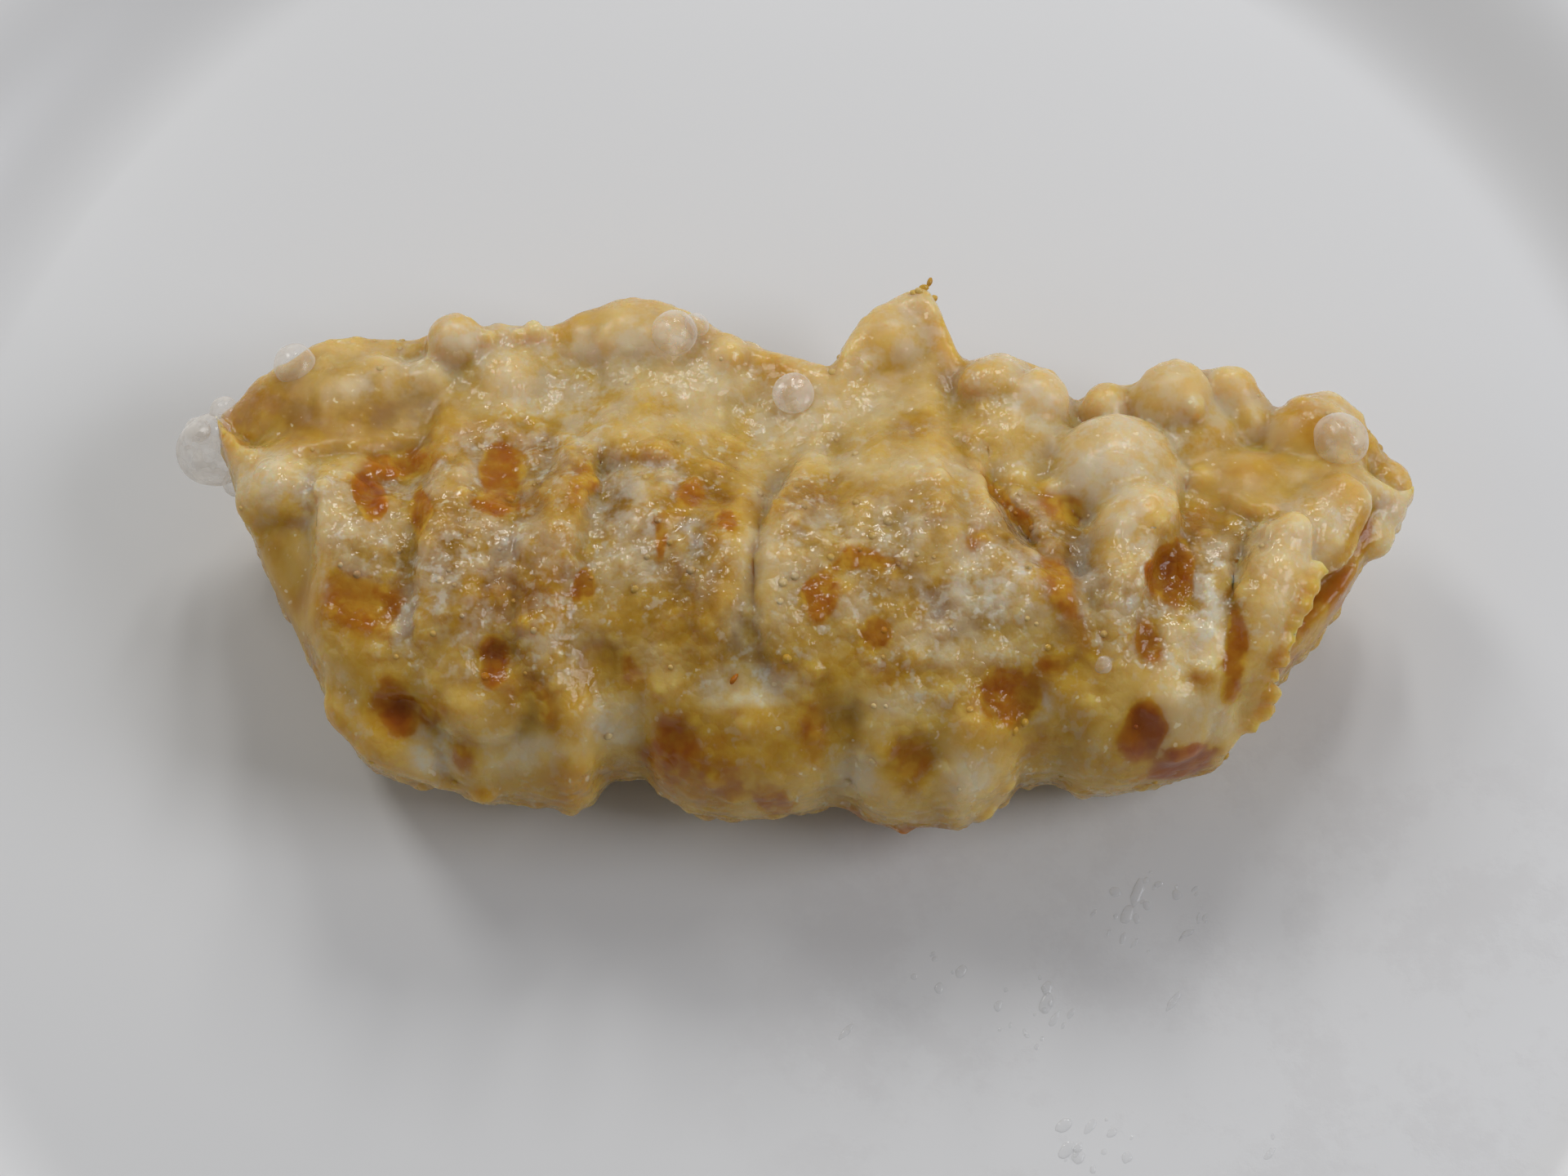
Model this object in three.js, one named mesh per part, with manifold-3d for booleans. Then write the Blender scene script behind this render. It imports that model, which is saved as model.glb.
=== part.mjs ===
// A pan-fried gyoza dumpling, lying on its back on a round glazed plate.
//
// Millimetres, +Z up. The origin is the middle of the plate's foot, on the surface the plate stands on.
// X runs along the dumpling and Y from its round belly to its pinched seam, whose frill stands free.

import * as THREE from 'three';
import { mergeVertices } from 'three/addons/utils/BufferGeometryUtils.js';
import Module from 'manifold-3d';

// ---------------------------------------------------------------------------------------------------
// Driving dimensions

const PLATE = {
  radius: 100,
  height: 17,
  wellRadius: 69,
  floorThickness: 4.2,
  lipThickness: 3,
  footInner: 53,
  footOuter: 57,
  footHeight: 2.4,
  footBevel: 0.4,
  segments: 64,
  rimSteps: 5,
  lipSteps: 4,
};

const REST_GAP = 0.3; // clearance between the plate's floor and the dumpling's back

const DUMPLING = {
  leftTip: { x: -43.4, y: 11.9 },
  rightTip: { x: 47.6, y: 7.9 },
  bellyDepth: 28.6, // from the line between the tips out to the belly
  seamRise: 7.6, // from the same line out to the plain seam edge
  thickness: 21.5, // at the thickest place, pleats left out
  crestShare: 0.42, // where the crest lies, as a share of the width from the belly
  bellyHeight: 8.2, // of the belly's widest line above the plate
  seamHeight: 11.2, // of the frill's middle above the plate
  frillDepth: 8, // how far the frill stands out of the filled body
  frillThickness: 3.6,
  tipThickness: 4.4,
  baseFrom: 0.2, // the flat back's reach, as shares of the width
  baseTo: 0.6,
  stations: 78,
  sidePoints: 17, // of one section, from belly to seam along the front or the back
};

// How full the belly's outline is towards each tip: (1 - |t|^power)^(1 / root), t from -1 to 1
const FULLNESS = { left: { power: 6, root: 1.1 }, right: { power: 3.6, root: 1 } };

// Lobes of the frill's edge: middle, half width and how far each stands out, and its lean
const FRILL_LOBES = [
  { name: 'gold lobe', x: -11.8, half: 8.5, rise: 4.8 },
  { name: 'left shoulder', x: -27, half: 9, rise: 1.9 },
  { name: 'torn point', x: 9.4, half: 5.2, rise: 7.6 },
  { name: 'low lobe', x: 17.2, half: 4.2, rise: 1.7 },
  { name: 'notch', x: 22.2, half: 2.4, rise: -2 },
  { name: 'blistered lobe', x: 29.8, half: 4.6, rise: 2.4 },
  { name: 'small lobe', x: 35, half: 2.2, rise: 2 },
  { name: 'end lobe', x: 41.2, half: 3.6, rise: 2.6 },
];

// Scallops that the pleats' feet leave in the belly's outline; a negative depth stands out
const BELLY_SCALLOPS = [
  { x: -12, half: 3.6, depth: 2.8 },
  { x: -17.5, half: 2.2, depth: -0.7 },
  { x: 4, half: 2.4, depth: 1.4 },
  { x: 13, half: 1.8, depth: -0.6 },
  { x: 20.5, half: 4, depth: 2.6 },
  { x: 33, half: 3, depth: -2.4 },
];

// Pleats of the front: the fold line's place at the seam and at the belly, how high the fold lies over
// its neighbour (positive where the right side is on top), how fast it levels out, and its soft groove
const PLEATS = [
  { seam: -34.2, belly: -33, lift: 1.5, relax: 7 },
  { seam: -26.6, belly: -25.4, lift: 1.1, relax: 5 },
  { seam: -18.4, belly: -19.2, lift: 1.2, relax: 4 },
  { seam: -13.8, belly: -15, lift: -1.2, relax: 4 },
  { seam: 0.8, belly: -6.5, lift: 2.7, relax: 11 },
  { seam: 14.4, belly: 22, lift: -2.2, relax: 7 },
  { seam: 22, belly: 27.5, lift: 1.3, relax: 5 },
  { seam: 31.4, belly: 31, lift: 1.4, relax: 5 },
  { seam: 38.6, belly: 34.6, lift: -2, relax: 4 },
];
const PLEAT_EDGE = 0.9; // half width of a fold's rounded step
const PLEAT_GROOVE = { share: 0.45, width: 1.6 }; // the hollow beside a fold, as a share of its lift
const PLEAT_REACH = { from: 0.04, full: 0.2, level: 0.74, to: 0.86 }; // shares of the width with pleats

// Ripples along the frill, as height of the wave and its length
const FRILL_RIPPLE = { height: 0.7, length: 13 };

// Fried blisters that stand proud of the frill and the right pleats
const BLISTERS = [
  { x: -43.4, y: 11, z: 11.4, radius: 2.9 },
  { x: -37.2, y: 17.6, z: 12, radius: 1.7 },
  { x: -25, y: 20.4, z: 11.6, radius: 2.2 },
  { x: -8.4, y: 19.9, z: 12.6, radius: 2.1 },
  { x: 0.8, y: 15.4, z: 12.8, radius: 2.3 },
  { x: 8, y: 18.6, z: 12.4, radius: 2 },
  { x: 19.7, y: 15.6, z: 12, radius: 2.5 },
  { x: 25, y: 10.2, z: 13.4, radius: 4.4 },
  { x: 29.7, y: 15.6, z: 11.6, radius: 3.1 },
  { x: 42.6, y: 11.6, z: 11.8, radius: 2.4 },
  { x: 45, y: 4.8, z: 9.4, radius: 2 },
];
const BLISTER_SEGMENTS = { around: 12, down: 8 };

const COLOURS = { glaze: 0xe9eaec, dough: 0xd8b878 };

// ---------------------------------------------------------------------------------------------------
// Small shaping functions

const clamp01 = (value) => Math.min(1, Math.max(0, value));

const smooth = (value) => {
  const t = clamp01(value);
  return t * t * (3 - 2 * t);
};

const mix = (a, b, share) => a + (b - a) * share;

// A cosine hump of height 1 at 0 that ends at -1 and 1
const hump = (t) => (Math.abs(t) < 1 ? 0.5 + 0.5 * Math.cos(Math.PI * t) : 0);

// Quarter of a circle: 0 at 0 with an upright start, 1 from 1 on
const quarterRound = (t) => Math.sqrt(1 - (1 - clamp01(t)) ** 2);

// ---------------------------------------------------------------------------------------------------
// The plate

const wellTop = PLATE.footHeight + PLATE.floorThickness;

// Height of the plate's upper face: flat in the well, then a rounded shoulder and a sloping rim
function plateTop(radius) {
  const t = clamp01((radius - PLATE.wellRadius) / (PLATE.radius - PLATE.wellRadius));
  const shoulder = 0.6 * smooth(t / 0.5);
  return wellTop + (PLATE.height - wellTop) * (shoulder + 0.4 * t * t);
}

function plateThickness(radius) {
  const t = clamp01((radius - PLATE.footOuter) / (PLATE.radius - PLATE.footOuter));
  return mix(PLATE.floorThickness, PLATE.lipThickness, t);
}

function plateProfile() {
  const { footInner, footOuter, footHeight, footBevel, wellRadius, rimSteps, lipSteps } = PLATE;
  const lipRadius = PLATE.lipThickness / 2;
  const lipMiddle = PLATE.radius - lipRadius;
  const lipHeight = plateTop(lipMiddle) - lipRadius;
  const points = [
    [0, footHeight],
    [footInner, footHeight],
    [footInner + footBevel, 0],
    [footOuter - footBevel, 0],
    [footOuter, footHeight],
  ];
  for (let i = 1; i < rimSteps; i += 1) {
    const radius = mix(footOuter, lipMiddle, i / rimSteps);
    points.push([radius, Math.max(plateTop(radius) - plateThickness(radius), footHeight)]);
  }
  for (let i = 0; i <= lipSteps; i += 1) {
    const angle = mix(-Math.PI / 2, Math.PI / 2, i / lipSteps);
    points.push([lipMiddle + lipRadius * Math.cos(angle), lipHeight + lipRadius * Math.sin(angle)]);
  }
  for (let i = 1; i <= rimSteps; i += 1) {
    const radius = mix(lipMiddle, wellRadius, i / rimSteps);
    points.push([radius, plateTop(radius)]);
  }
  points.push([0, wellTop]);
  return points.map(([radius, height]) => new THREE.Vector2(radius, height));
}

function makePlate() {
  const geometry = new THREE.LatheGeometry(plateProfile(), PLATE.segments);
  geometry.rotateX(Math.PI / 2);
  const material = new THREE.MeshStandardMaterial({ color: COLOURS.glaze, roughness: 0.18, metalness: 0 });
  const mesh = new THREE.Mesh(geometry, material);
  mesh.name = 'plate';
  return mesh;
}

// ---------------------------------------------------------------------------------------------------
// The dumpling's outline, seen from above

const tipMiddle = (DUMPLING.leftTip.x + DUMPLING.rightTip.x) / 2;
const tipHalf = (DUMPLING.rightTip.x - DUMPLING.leftTip.x) / 2;

// Y of the straight line between the tips
function tipLine(x) {
  const share = (x - DUMPLING.leftTip.x) / (2 * tipHalf);
  return mix(DUMPLING.leftTip.y, DUMPLING.rightTip.y, share);
}

// 1 in the middle and 0 at either tip, fuller on the left than on the right
function fullness(x) {
  const t = (x - tipMiddle) / tipHalf;
  const { power, root } = t < 0 ? FULLNESS.left : FULLNESS.right;
  return clamp01(1 - Math.abs(t) ** power) ** (1 / root);
}

// 1 over nearly the whole length, rounding off to 0 at the tips
const tipRounding = (x) => clamp01(1 - Math.abs((x - tipMiddle) / tipHalf) ** 9) ** 0.6;

function bellyEdge(x) {
  const scallops = BELLY_SCALLOPS.reduce((sum, s) => sum + s.depth * hump((x - s.x) / s.half), 0);
  return tipLine(x) - DUMPLING.bellyDepth * fullness(x) + scallops * fullness(x);
}

function seamEdge(x) {
  const lobes = FRILL_LOBES.reduce((sum, lobe) => sum + lobe.rise * hump((x - lobe.x) / lobe.half), 0);
  return tipLine(x) + (DUMPLING.seamRise + lobes) * tipRounding(x);
}

// ---------------------------------------------------------------------------------------------------
// The dumpling's section at one station: heights above the plate, over the share of the width

// How high one pleat lies at a distance across its fold line
function pleatRelief(pleat, distance) {
  const side = distance * Math.sign(pleat.lift);
  const size = Math.abs(pleat.lift);
  if (side < -PLEAT_EDGE) {
    return -size * PLEAT_GROOVE.share * Math.exp((side + PLEAT_EDGE) / PLEAT_GROOVE.width);
  }
  if (side < PLEAT_EDGE) {
    return mix(-size * PLEAT_GROOVE.share, size, smooth((side + PLEAT_EDGE) / (2 * PLEAT_EDGE)));
  }
  return size * Math.exp(-(((side - PLEAT_EDGE) / pleat.relax) ** 2));
}

// Height of all pleats together, faded out towards the belly's edge and the frill
function pleatHeight(x, share) {
  const fadeIn = smooth((share - PLEAT_REACH.from) / (PLEAT_REACH.full - PLEAT_REACH.from));
  const fadeOut = 1 - smooth((share - PLEAT_REACH.level) / (PLEAT_REACH.to - PLEAT_REACH.level));
  const along = share / PLEAT_REACH.level;
  const total = PLEATS.reduce(
    (sum, pleat) => sum + pleatRelief(pleat, x - mix(pleat.belly, pleat.seam, along)),
    0,
  );
  return total * fadeIn * fadeOut;
}

// The measures of one section that all its points share
function sectionAt(x) {
  const belly = bellyEdge(x);
  const seam = seamEdge(x);
  const width = seam - belly;
  const full = fullness(x);
  const ripple = FRILL_RIPPLE.height * Math.sin((2 * Math.PI * x) / FRILL_RIPPLE.length);
  const frillMiddle = DUMPLING.seamHeight + ripple * tipRounding(x);
  const frillShare = Math.min(0.6, (DUMPLING.frillDepth + seam - tipLine(x) - DUMPLING.seamRise) / width);
  const crest = mix(frillMiddle + DUMPLING.tipThickness / 2, DUMPLING.thickness, full ** 0.75);
  return {
    x,
    belly,
    width,
    crest,
    full,
    frillMiddle,
    frillFrom: 1 - frillShare,
    frillHalf: (DUMPLING.frillThickness / 2) * tipRounding(x),
    edgeHeight: mix(frillMiddle, DUMPLING.bellyHeight, full),
  };
}

// Half the frill's thickness, rounded off at its free edge
function frillHalfAt(section, share) {
  const rounding = section.frillHalf / section.width;
  return section.frillHalf * quarterRound((1 - share) / Math.max(rounding, 1e-6));
}

function frontHeight(section, share) {
  const { crest, edgeHeight, frillMiddle, frillFrom } = section;
  const { crestShare } = DUMPLING;
  if (share < crestShare) {
    const rise = quarterRound(share / crestShare) ** 1.1;
    return mix(edgeHeight, crest, rise) + pleatHeight(section.x, share) * section.full;
  }
  const fall = clamp01((share - crestShare) / (frillFrom - crestShare));
  const frill = frillMiddle + frillHalfAt(section, share);
  const level = Math.cos((fall * Math.PI) / 2) ** 1.3;
  return mix(frill, crest, level) + pleatHeight(section.x, share) * section.full;
}

function backHeight(section, share) {
  const { edgeHeight, frillMiddle, frillFrom, full } = section;
  const { baseFrom, baseTo } = DUMPLING;
  const frill = frillMiddle - frillHalfAt(section, share);
  const lifted = mix(frillMiddle - DUMPLING.tipThickness / 2, 0, smooth(full / 0.62));
  const low = Math.max(lifted, 0);
  if (share < baseFrom) {
    return mix(edgeHeight, low, quarterRound(share / baseFrom));
  }
  if (share < baseTo) {
    return low;
  }
  return mix(low, frill, smooth((share - baseTo) / (frillFrom + 0.06 - baseTo)));
}

// ---------------------------------------------------------------------------------------------------
// The dumpling's closed skin

// Closed ring of points round one section: front from belly to seam, then the back to the belly
function sectionRing(section) {
  const { sidePoints } = DUMPLING;
  const ring = [];
  const place = (share, height) => {
    ring.push(new THREE.Vector3(section.x, section.belly + share * section.width, height));
  };
  for (let i = 0; i < sidePoints; i += 1) {
    const share = 0.5 - 0.5 * Math.cos((Math.PI * i) / sidePoints);
    place(share, i === 0 ? section.edgeHeight : frontHeight(section, share));
  }
  for (let i = 0; i < sidePoints; i += 1) {
    const share = 0.5 + 0.5 * Math.cos((Math.PI * i) / sidePoints);
    place(share, i === 0 ? section.frillMiddle : backHeight(section, share));
  }
  return ring;
}

function skinGeometry() {
  const { stations, sidePoints, leftTip, rightTip } = DUMPLING;
  const around = 2 * sidePoints;
  const positions = [];
  const index = [];
  for (let i = 0; i < stations; i += 1) {
    const share = (i + 1) / (stations + 1);
    const eased = mix(share, 0.5 - 0.5 * Math.cos(Math.PI * share), 0.45);
    const section = sectionAt(mix(leftTip.x, rightTip.x, eased));
    sectionRing(section).forEach((point) => positions.push(...point.toArray()));
  }
  for (let i = 0; i + 1 < stations; i += 1) {
    for (let j = 0; j < around; j += 1) {
      const a = i * around + j;
      const b = i * around + ((j + 1) % around);
      index.push(a, a + around, b, b, a + around, b + around);
    }
  }
  [leftTip, rightTip].forEach((tip, end) => {
    const middle = positions.length / 3;
    positions.push(tip.x, tip.y, DUMPLING.seamHeight);
    const first = end * (stations - 1) * around;
    for (let j = 0; j < around; j += 1) {
      const a = first + j;
      const b = first + ((j + 1) % around);
      index.push(...(end === 0 ? [middle, a, b] : [middle, b, a]));
    }
  });
  const geometry = new THREE.BufferGeometry();
  geometry.setAttribute('position', new THREE.Float32BufferAttribute(positions, 3));
  geometry.setIndex(index);
  return geometry;
}

function blisterGeometry(blister) {
  const { around, down } = BLISTER_SEGMENTS;
  const geometry = new THREE.SphereGeometry(blister.radius, around, down);
  geometry.translate(blister.x, blister.y, blister.z);
  return geometry;
}

// ---------------------------------------------------------------------------------------------------
// Joining solids

const wasm = await Module();
wasm.setup();

function toSolid(geometry) {
  geometry.deleteAttribute('normal');
  geometry.deleteAttribute('uv');
  const merged = mergeVertices(geometry);
  return new wasm.Manifold(
    new wasm.Mesh({
      numProp: 3,
      vertProperties: new Float32Array(merged.attributes.position.array),
      triVerts: new Uint32Array(merged.index.array),
    }),
  );
}

function fromSolid(solid) {
  const mesh = solid.getMesh();
  const geometry = new THREE.BufferGeometry();
  geometry.setAttribute('position', new THREE.BufferAttribute(mesh.vertProperties, 3));
  geometry.setIndex(new THREE.BufferAttribute(mesh.triVerts, 1));
  geometry.computeVertexNormals();
  return geometry;
}

function makeDumpling() {
  const skin = toSolid(skinGeometry());
  const joined = BLISTERS.reduce((solid, blister) => solid.add(toSolid(blisterGeometry(blister))), skin);
  const material = new THREE.MeshStandardMaterial({ color: COLOURS.dough, roughness: 0.45, metalness: 0 });
  const mesh = new THREE.Mesh(fromSolid(joined), material);
  mesh.name = 'dumpling';
  mesh.position.z = wellTop + REST_GAP;
  return mesh;
}

// ---------------------------------------------------------------------------------------------------
// The object

const gyozaOnPlate = new THREE.Group();
gyozaOnPlate.name = 'gyoza_on_plate';
gyozaOnPlate.add(makePlate());
gyozaOnPlate.add(makeDumpling());

export default gyozaOnPlate;
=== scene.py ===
"""A fried gyoza dumpling lying on its back on a round glazed plate.

The frame is in metres, +Z up, with the origin in the middle of the plate's foot. Shapes are worked out in
millimetres and brought to metres when their mesh is made. X runs along the dumpling and Y from its belly to
its seam. Places on the dumpling's front are written as the camera sees them, in pixels of its view.
"""

import logging
import math
from dataclasses import dataclass, field, replace
from enum import Enum

import bpy
import numpy as np
from bpy.types import Material, NodeTree, Object
from mathutils import Matrix, Vector
from mathutils.kdtree import KDTree


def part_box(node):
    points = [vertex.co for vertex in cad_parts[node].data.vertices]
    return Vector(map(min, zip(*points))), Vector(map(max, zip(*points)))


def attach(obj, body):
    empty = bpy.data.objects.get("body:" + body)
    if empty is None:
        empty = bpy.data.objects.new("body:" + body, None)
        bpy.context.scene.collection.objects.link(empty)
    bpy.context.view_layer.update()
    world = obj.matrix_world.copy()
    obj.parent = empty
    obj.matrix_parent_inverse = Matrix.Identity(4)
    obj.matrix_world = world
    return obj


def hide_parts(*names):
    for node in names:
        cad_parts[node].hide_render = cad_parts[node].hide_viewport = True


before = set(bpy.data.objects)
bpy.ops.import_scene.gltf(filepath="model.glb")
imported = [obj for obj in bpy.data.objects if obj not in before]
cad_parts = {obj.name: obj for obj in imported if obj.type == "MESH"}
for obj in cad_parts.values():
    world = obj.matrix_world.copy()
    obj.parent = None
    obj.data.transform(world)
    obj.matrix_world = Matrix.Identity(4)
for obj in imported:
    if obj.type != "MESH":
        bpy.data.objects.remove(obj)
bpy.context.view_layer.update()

MM = 0.001  # metres in a millimetre
ROOT = "root"

Pair = tuple[float, float]
Triple = tuple[float, float, float]
Colour = tuple[float, float, float, float]
Path = tuple[Pair, ...]
Array = np.ndarray
Socket = bpy.types.NodeSocket

logging.basicConfig(level=logging.INFO, format="%(message)s")
log = logging.getLogger("gyoza")


# ---- Shaping functions


def smooth(value: Array) -> Array:
    """Return the smooth step of a value held between 0 and 1."""
    t = np.clip(value, 0.0, 1.0)
    return t * t * (3.0 - 2.0 * t)


def mix(low: Array, high: Array, share: Array) -> Array:
    """Return the value that lies a share of the way from low to high."""
    return low + (high - low) * share


def quarter_round(value: Array) -> Array:
    """Return a quarter circle that starts upright at 0 and is level from 1 on."""
    return np.sqrt(1.0 - (1.0 - np.clip(value, 0.0, 1.0)) ** 2)


def full_round(value: Array, power: float) -> Array:
    """Return a fuller quarter round, the boxier the higher its power."""
    return (1.0 - (1.0 - np.clip(value, 0.0, 1.0)) ** power) ** (1.0 / power)


def soft_union(first: Array, second: Array, reach: float) -> Array:
    """Join two distance fields with a rounded valley between them.

    Args:
        first: Distances to the first solid, in mm.
        second: Distances to the second solid, in mm.
        reach: How wide the rounding is, in mm.

    Returns:
        Distances to the joined solid.
    """
    share = np.clip(0.5 + 0.5 * (second - first) / reach, 0.0, 1.0)
    return second + (first - second) * share - reach * share * (1.0 - share)


def cos_sin(degrees: float) -> Pair:
    """Return the cosine and sine of an angle in degrees."""
    return math.cos(math.radians(degrees)), math.sin(math.radians(degrees))


class Grain:
    """Seeded smooth noise between -1 and 1, in any number of octaves."""

    octave_shift = 17.3  # lattice steps from one octave's origin to the next

    def __init__(self, seed: int, size: int = 48) -> None:
        """Fill the noise's lattice.

        Args:
            seed: Fixed seed of the lattice.
            size: Lattice points along each axis before it repeats.
        """
        self.size = size
        self.lattice = np.random.default_rng(seed).uniform(-1.0, 1.0, (size, size, size)).astype(np.float32)

    def once(self, points: Array) -> Array:
        """Return one octave of noise.

        Args:
            points: Places in lattice steps, one row of three each.

        Returns:
            One value for each place.
        """
        whole = np.floor(points).astype(np.int64)
        part = smooth(points - whole)
        total = np.zeros(len(points))
        for corner in range(8):
            bits = np.array([corner & 1, corner >> 1 & 1, corner >> 2 & 1])
            cell = (whole + bits) % self.size
            weight = np.prod(np.where(bits == 1, part, 1.0 - part), axis=1)
            total += weight * self.lattice[cell[:, 0], cell[:, 1], cell[:, 2]]
        return total

    def layered(self, points: Array, wavelength: float, octaves: int) -> Array:
        """Return noise of several octaves.

        Args:
            points: Places, one row of three numbers each.
            wavelength: Length of the coarsest octave, in the points' unit.
            octaves: How many octaves are added, each half as long and half as strong.

        Returns:
            One value for each place.
        """
        total = np.zeros(len(points))
        for octave in range(octaves):
            steps = points * (2.0**octave / wavelength) + self.octave_shift * octave
            total += self.once(steps) * 0.5**octave
        return total


@dataclass(frozen=True)
class Wave:
    """Layered noise of a strength, a wavelength in mm and a number of octaves, from a shifted origin."""

    strength: float
    length: float
    octaves: int
    shift: float = 0.0

    def over(self, grain: Grain, points: Array) -> Array:
        """Return the noise at points in mm, one row of three each."""
        return self.strength * grain.layered(points + self.shift, self.length, self.octaves)


# ---- The camera and its view


@dataclass(frozen=True)
class CameraView:
    """The camera, and how its view's pixels lie on the object."""

    target: Triple = (0.0, 0.0, 17.0)
    distance: float = 240.0
    elevation: float = math.radians(72.0)
    lens: float = 72.0
    sensor: float = 36.0
    width: float = 1920.0
    height: float = 1440.0
    clip: float = 10.0

    @property
    def axes(self) -> tuple[Array, Array, Array]:
        """The camera's right, up and forward directions."""
        sin, cos = math.sin(self.elevation), math.cos(self.elevation)
        return np.array([1.0, 0.0, 0.0]), np.array([0.0, sin, cos]), np.array([0.0, cos, -sin])

    @property
    def eye(self) -> Array:
        """The camera's place in mm."""
        return np.array(self.target) - self.axes[2] * self.distance

    @property
    def pixels_per_mm(self) -> float:
        """Pixels to a millimetre on the plane through the target."""
        return self.lens / self.sensor * self.width / self.distance

    def project(self, points: Array) -> Array:
        """Return where places in mm show in the view.

        Args:
            points: Places in mm, one row of three each.

        Returns:
            Pixels from the view's upper left corner, one row of two for each place.
        """
        right, up, forward = self.axes
        offset = points - self.eye
        scale = self.pixels_per_mm * self.distance / (offset @ forward)
        return np.column_stack([
            self.width / 2 + scale * (offset @ right),
            self.height / 2 - scale * (offset @ up),
        ])

    def on_level(self, pixels: Array, level: float | Array) -> Array:
        """Return the place on a level plane that shows at each pixel.

        Args:
            pixels: Pixels, one row of two each.
            level: Height of the plane, or of one plane for each pixel, in mm.

        Returns:
            X and Y in mm, one row for each pixel.
        """
        right, up, forward = self.axes
        factor = self.pixels_per_mm * self.distance
        across = (pixels[:, :1] - self.width / 2) / factor
        upward = (self.height / 2 - pixels[:, 1:2]) / factor
        ray = forward + across * right + upward * up
        reach = (level - self.eye[2]) / ray[:, 2]
        return self.eye[:2] + ray[:, :2] * reach[:, None]

    def build(self) -> None:
        """Make the camera and set it as the scene's own."""
        data = bpy.data.cameras.new("camera")
        data.lens = self.lens
        data.sensor_width = self.sensor
        data.clip_start = self.clip * MM
        camera = bpy.data.objects.new("camera", data)
        bpy.context.scene.collection.objects.link(camera)
        camera.location = Vector(self.eye) * MM
        right, up, forward = self.axes
        camera.rotation_euler = Matrix([right, up, -forward]).transposed().to_euler()
        bpy.context.scene.camera = camera


VIEW = CameraView()


# ---- What the dumpling's front shows


@dataclass(frozen=True)
class Fold:
    """A fold line of the front, along which one side lies over the other.

    The lift is positive where the side to the right of a falling path, or above a level one, is on top.
    """

    path: Path
    lift: float
    relax: float
    edge: float = 0.5
    groove: float = 0.4
    reach: float = 2.2
    fade: Pair = (0.15, 0.15)


@dataclass(frozen=True)
class Swell:
    """A soft hump of the front, or a dimple where its height is negative."""

    at: Pair
    size: Pair
    height: float
    turn: float = 0.0


@dataclass(frozen=True)
class Roll:
    """A rounded strand of dough along a path, with its radius in pixels at each of the path's points.

    The lift is the height of its middle over the face below it.
    """

    name: str
    path: Path
    radii: tuple[float, ...]
    lift: float
    blend: float = 0.7


@dataclass(frozen=True)
class Blister:
    """A round bubble of dough, by the height of its middle over the face below it."""

    at: Pair
    radius: float
    lift: float
    blend: float = 0.5
    squash: float = 1.0


class Tint(Enum):
    """What a spot of colour does to the dough."""

    BROWN = "tone"
    PALE = "pale"
    SHADE = "shade"
    SMOOTH = "sleek"
    DEEP = "deep"


@dataclass(frozen=True)
class Spot:
    """A patch of browned, pale, shaded or sleek dough, turned clockwise by some degrees.

    The edge is half the width over which it fades, and the ring how much weaker its middle is.
    """

    at: Pair
    size: Pair
    strength: float
    turn: float = 0.0
    tint: Tint = Tint.BROWN
    edge: float = 0.56
    ring: float = 0.0


def spots_of(tint: Tint, rows: tuple[tuple, ...]) -> tuple[Spot, ...]:
    """Return spots of one tint.

    Args:
        tint: What the spots do to the dough.
        rows: Each spot's middle, half sizes and strength, and its turn in degrees where it has one.

    Returns:
        The spots.
    """
    return tuple(Spot(*row, tint=tint) for row in rows)


SEAM_LEVEL = 18.2
BELLY_LEVEL = 15.8

SEAM_OUTLINE = (
    (272, 515), (300, 492), (335, 468), (385, 432), (430, 421), (480, 418), (525, 417), (548, 410),
    (600, 411), (640, 407), (690, 400), (720, 382), (760, 372), (800, 375), (840, 390), (880, 408),
    (920, 424), (960, 440), (1000, 456), (1022, 461), (1034, 432), (1050, 408), (1072, 384), (1100, 364),
    (1128, 354), (1140, 362), (1152, 392), (1166, 430), (1178, 452), (1200, 448), (1225, 440), (1250, 450),
    (1290, 462), (1312, 496), (1335, 488), (1362, 476), (1385, 478), (1410, 458), (1440, 448), (1470, 462),
    (1500, 450), (1525, 462), (1545, 490), (1560, 506), (1585, 492), (1625, 487), (1650, 502), (1680, 545),
    (1705, 572), (1722, 600),
)
BELLY_OUTLINE = (
    (272, 515), (290, 600), (315, 672), (340, 732), (375, 795), (400, 852), (415, 888), (448, 932),
    (480, 948), (520, 956), (548, 953), (570, 972), (590, 978), (615, 975), (650, 980), (680, 984),
    (705, 990), (722, 978), (744, 950), (794, 948), (806, 968), (850, 990), (900, 998), (945, 998),
    (990, 990), (1012, 978), (1042, 980), (1062, 1000), (1085, 1008), (1150, 1004), (1172, 1010),
    (1200, 996), (1232, 975), (1250, 952), (1296, 950), (1330, 967), (1370, 968), (1430, 956), (1495, 938),
    (1510, 912), (1528, 888), (1545, 850), (1562, 834), (1596, 802), (1618, 780), (1636, 754), (1654, 720),
    (1668, 696), (1682, 680), (1703, 668), (1713, 645), (1722, 600),
)

FRILL_EDGE = (
    (180, 556), (530, 552), (556, 486), (640, 494), (720, 520), (900, 540), (960, 566), (1180, 606),
    (1290, 590), (1430, 606), (1460, 620), (1640, 612), (1740, 640),
)

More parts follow.
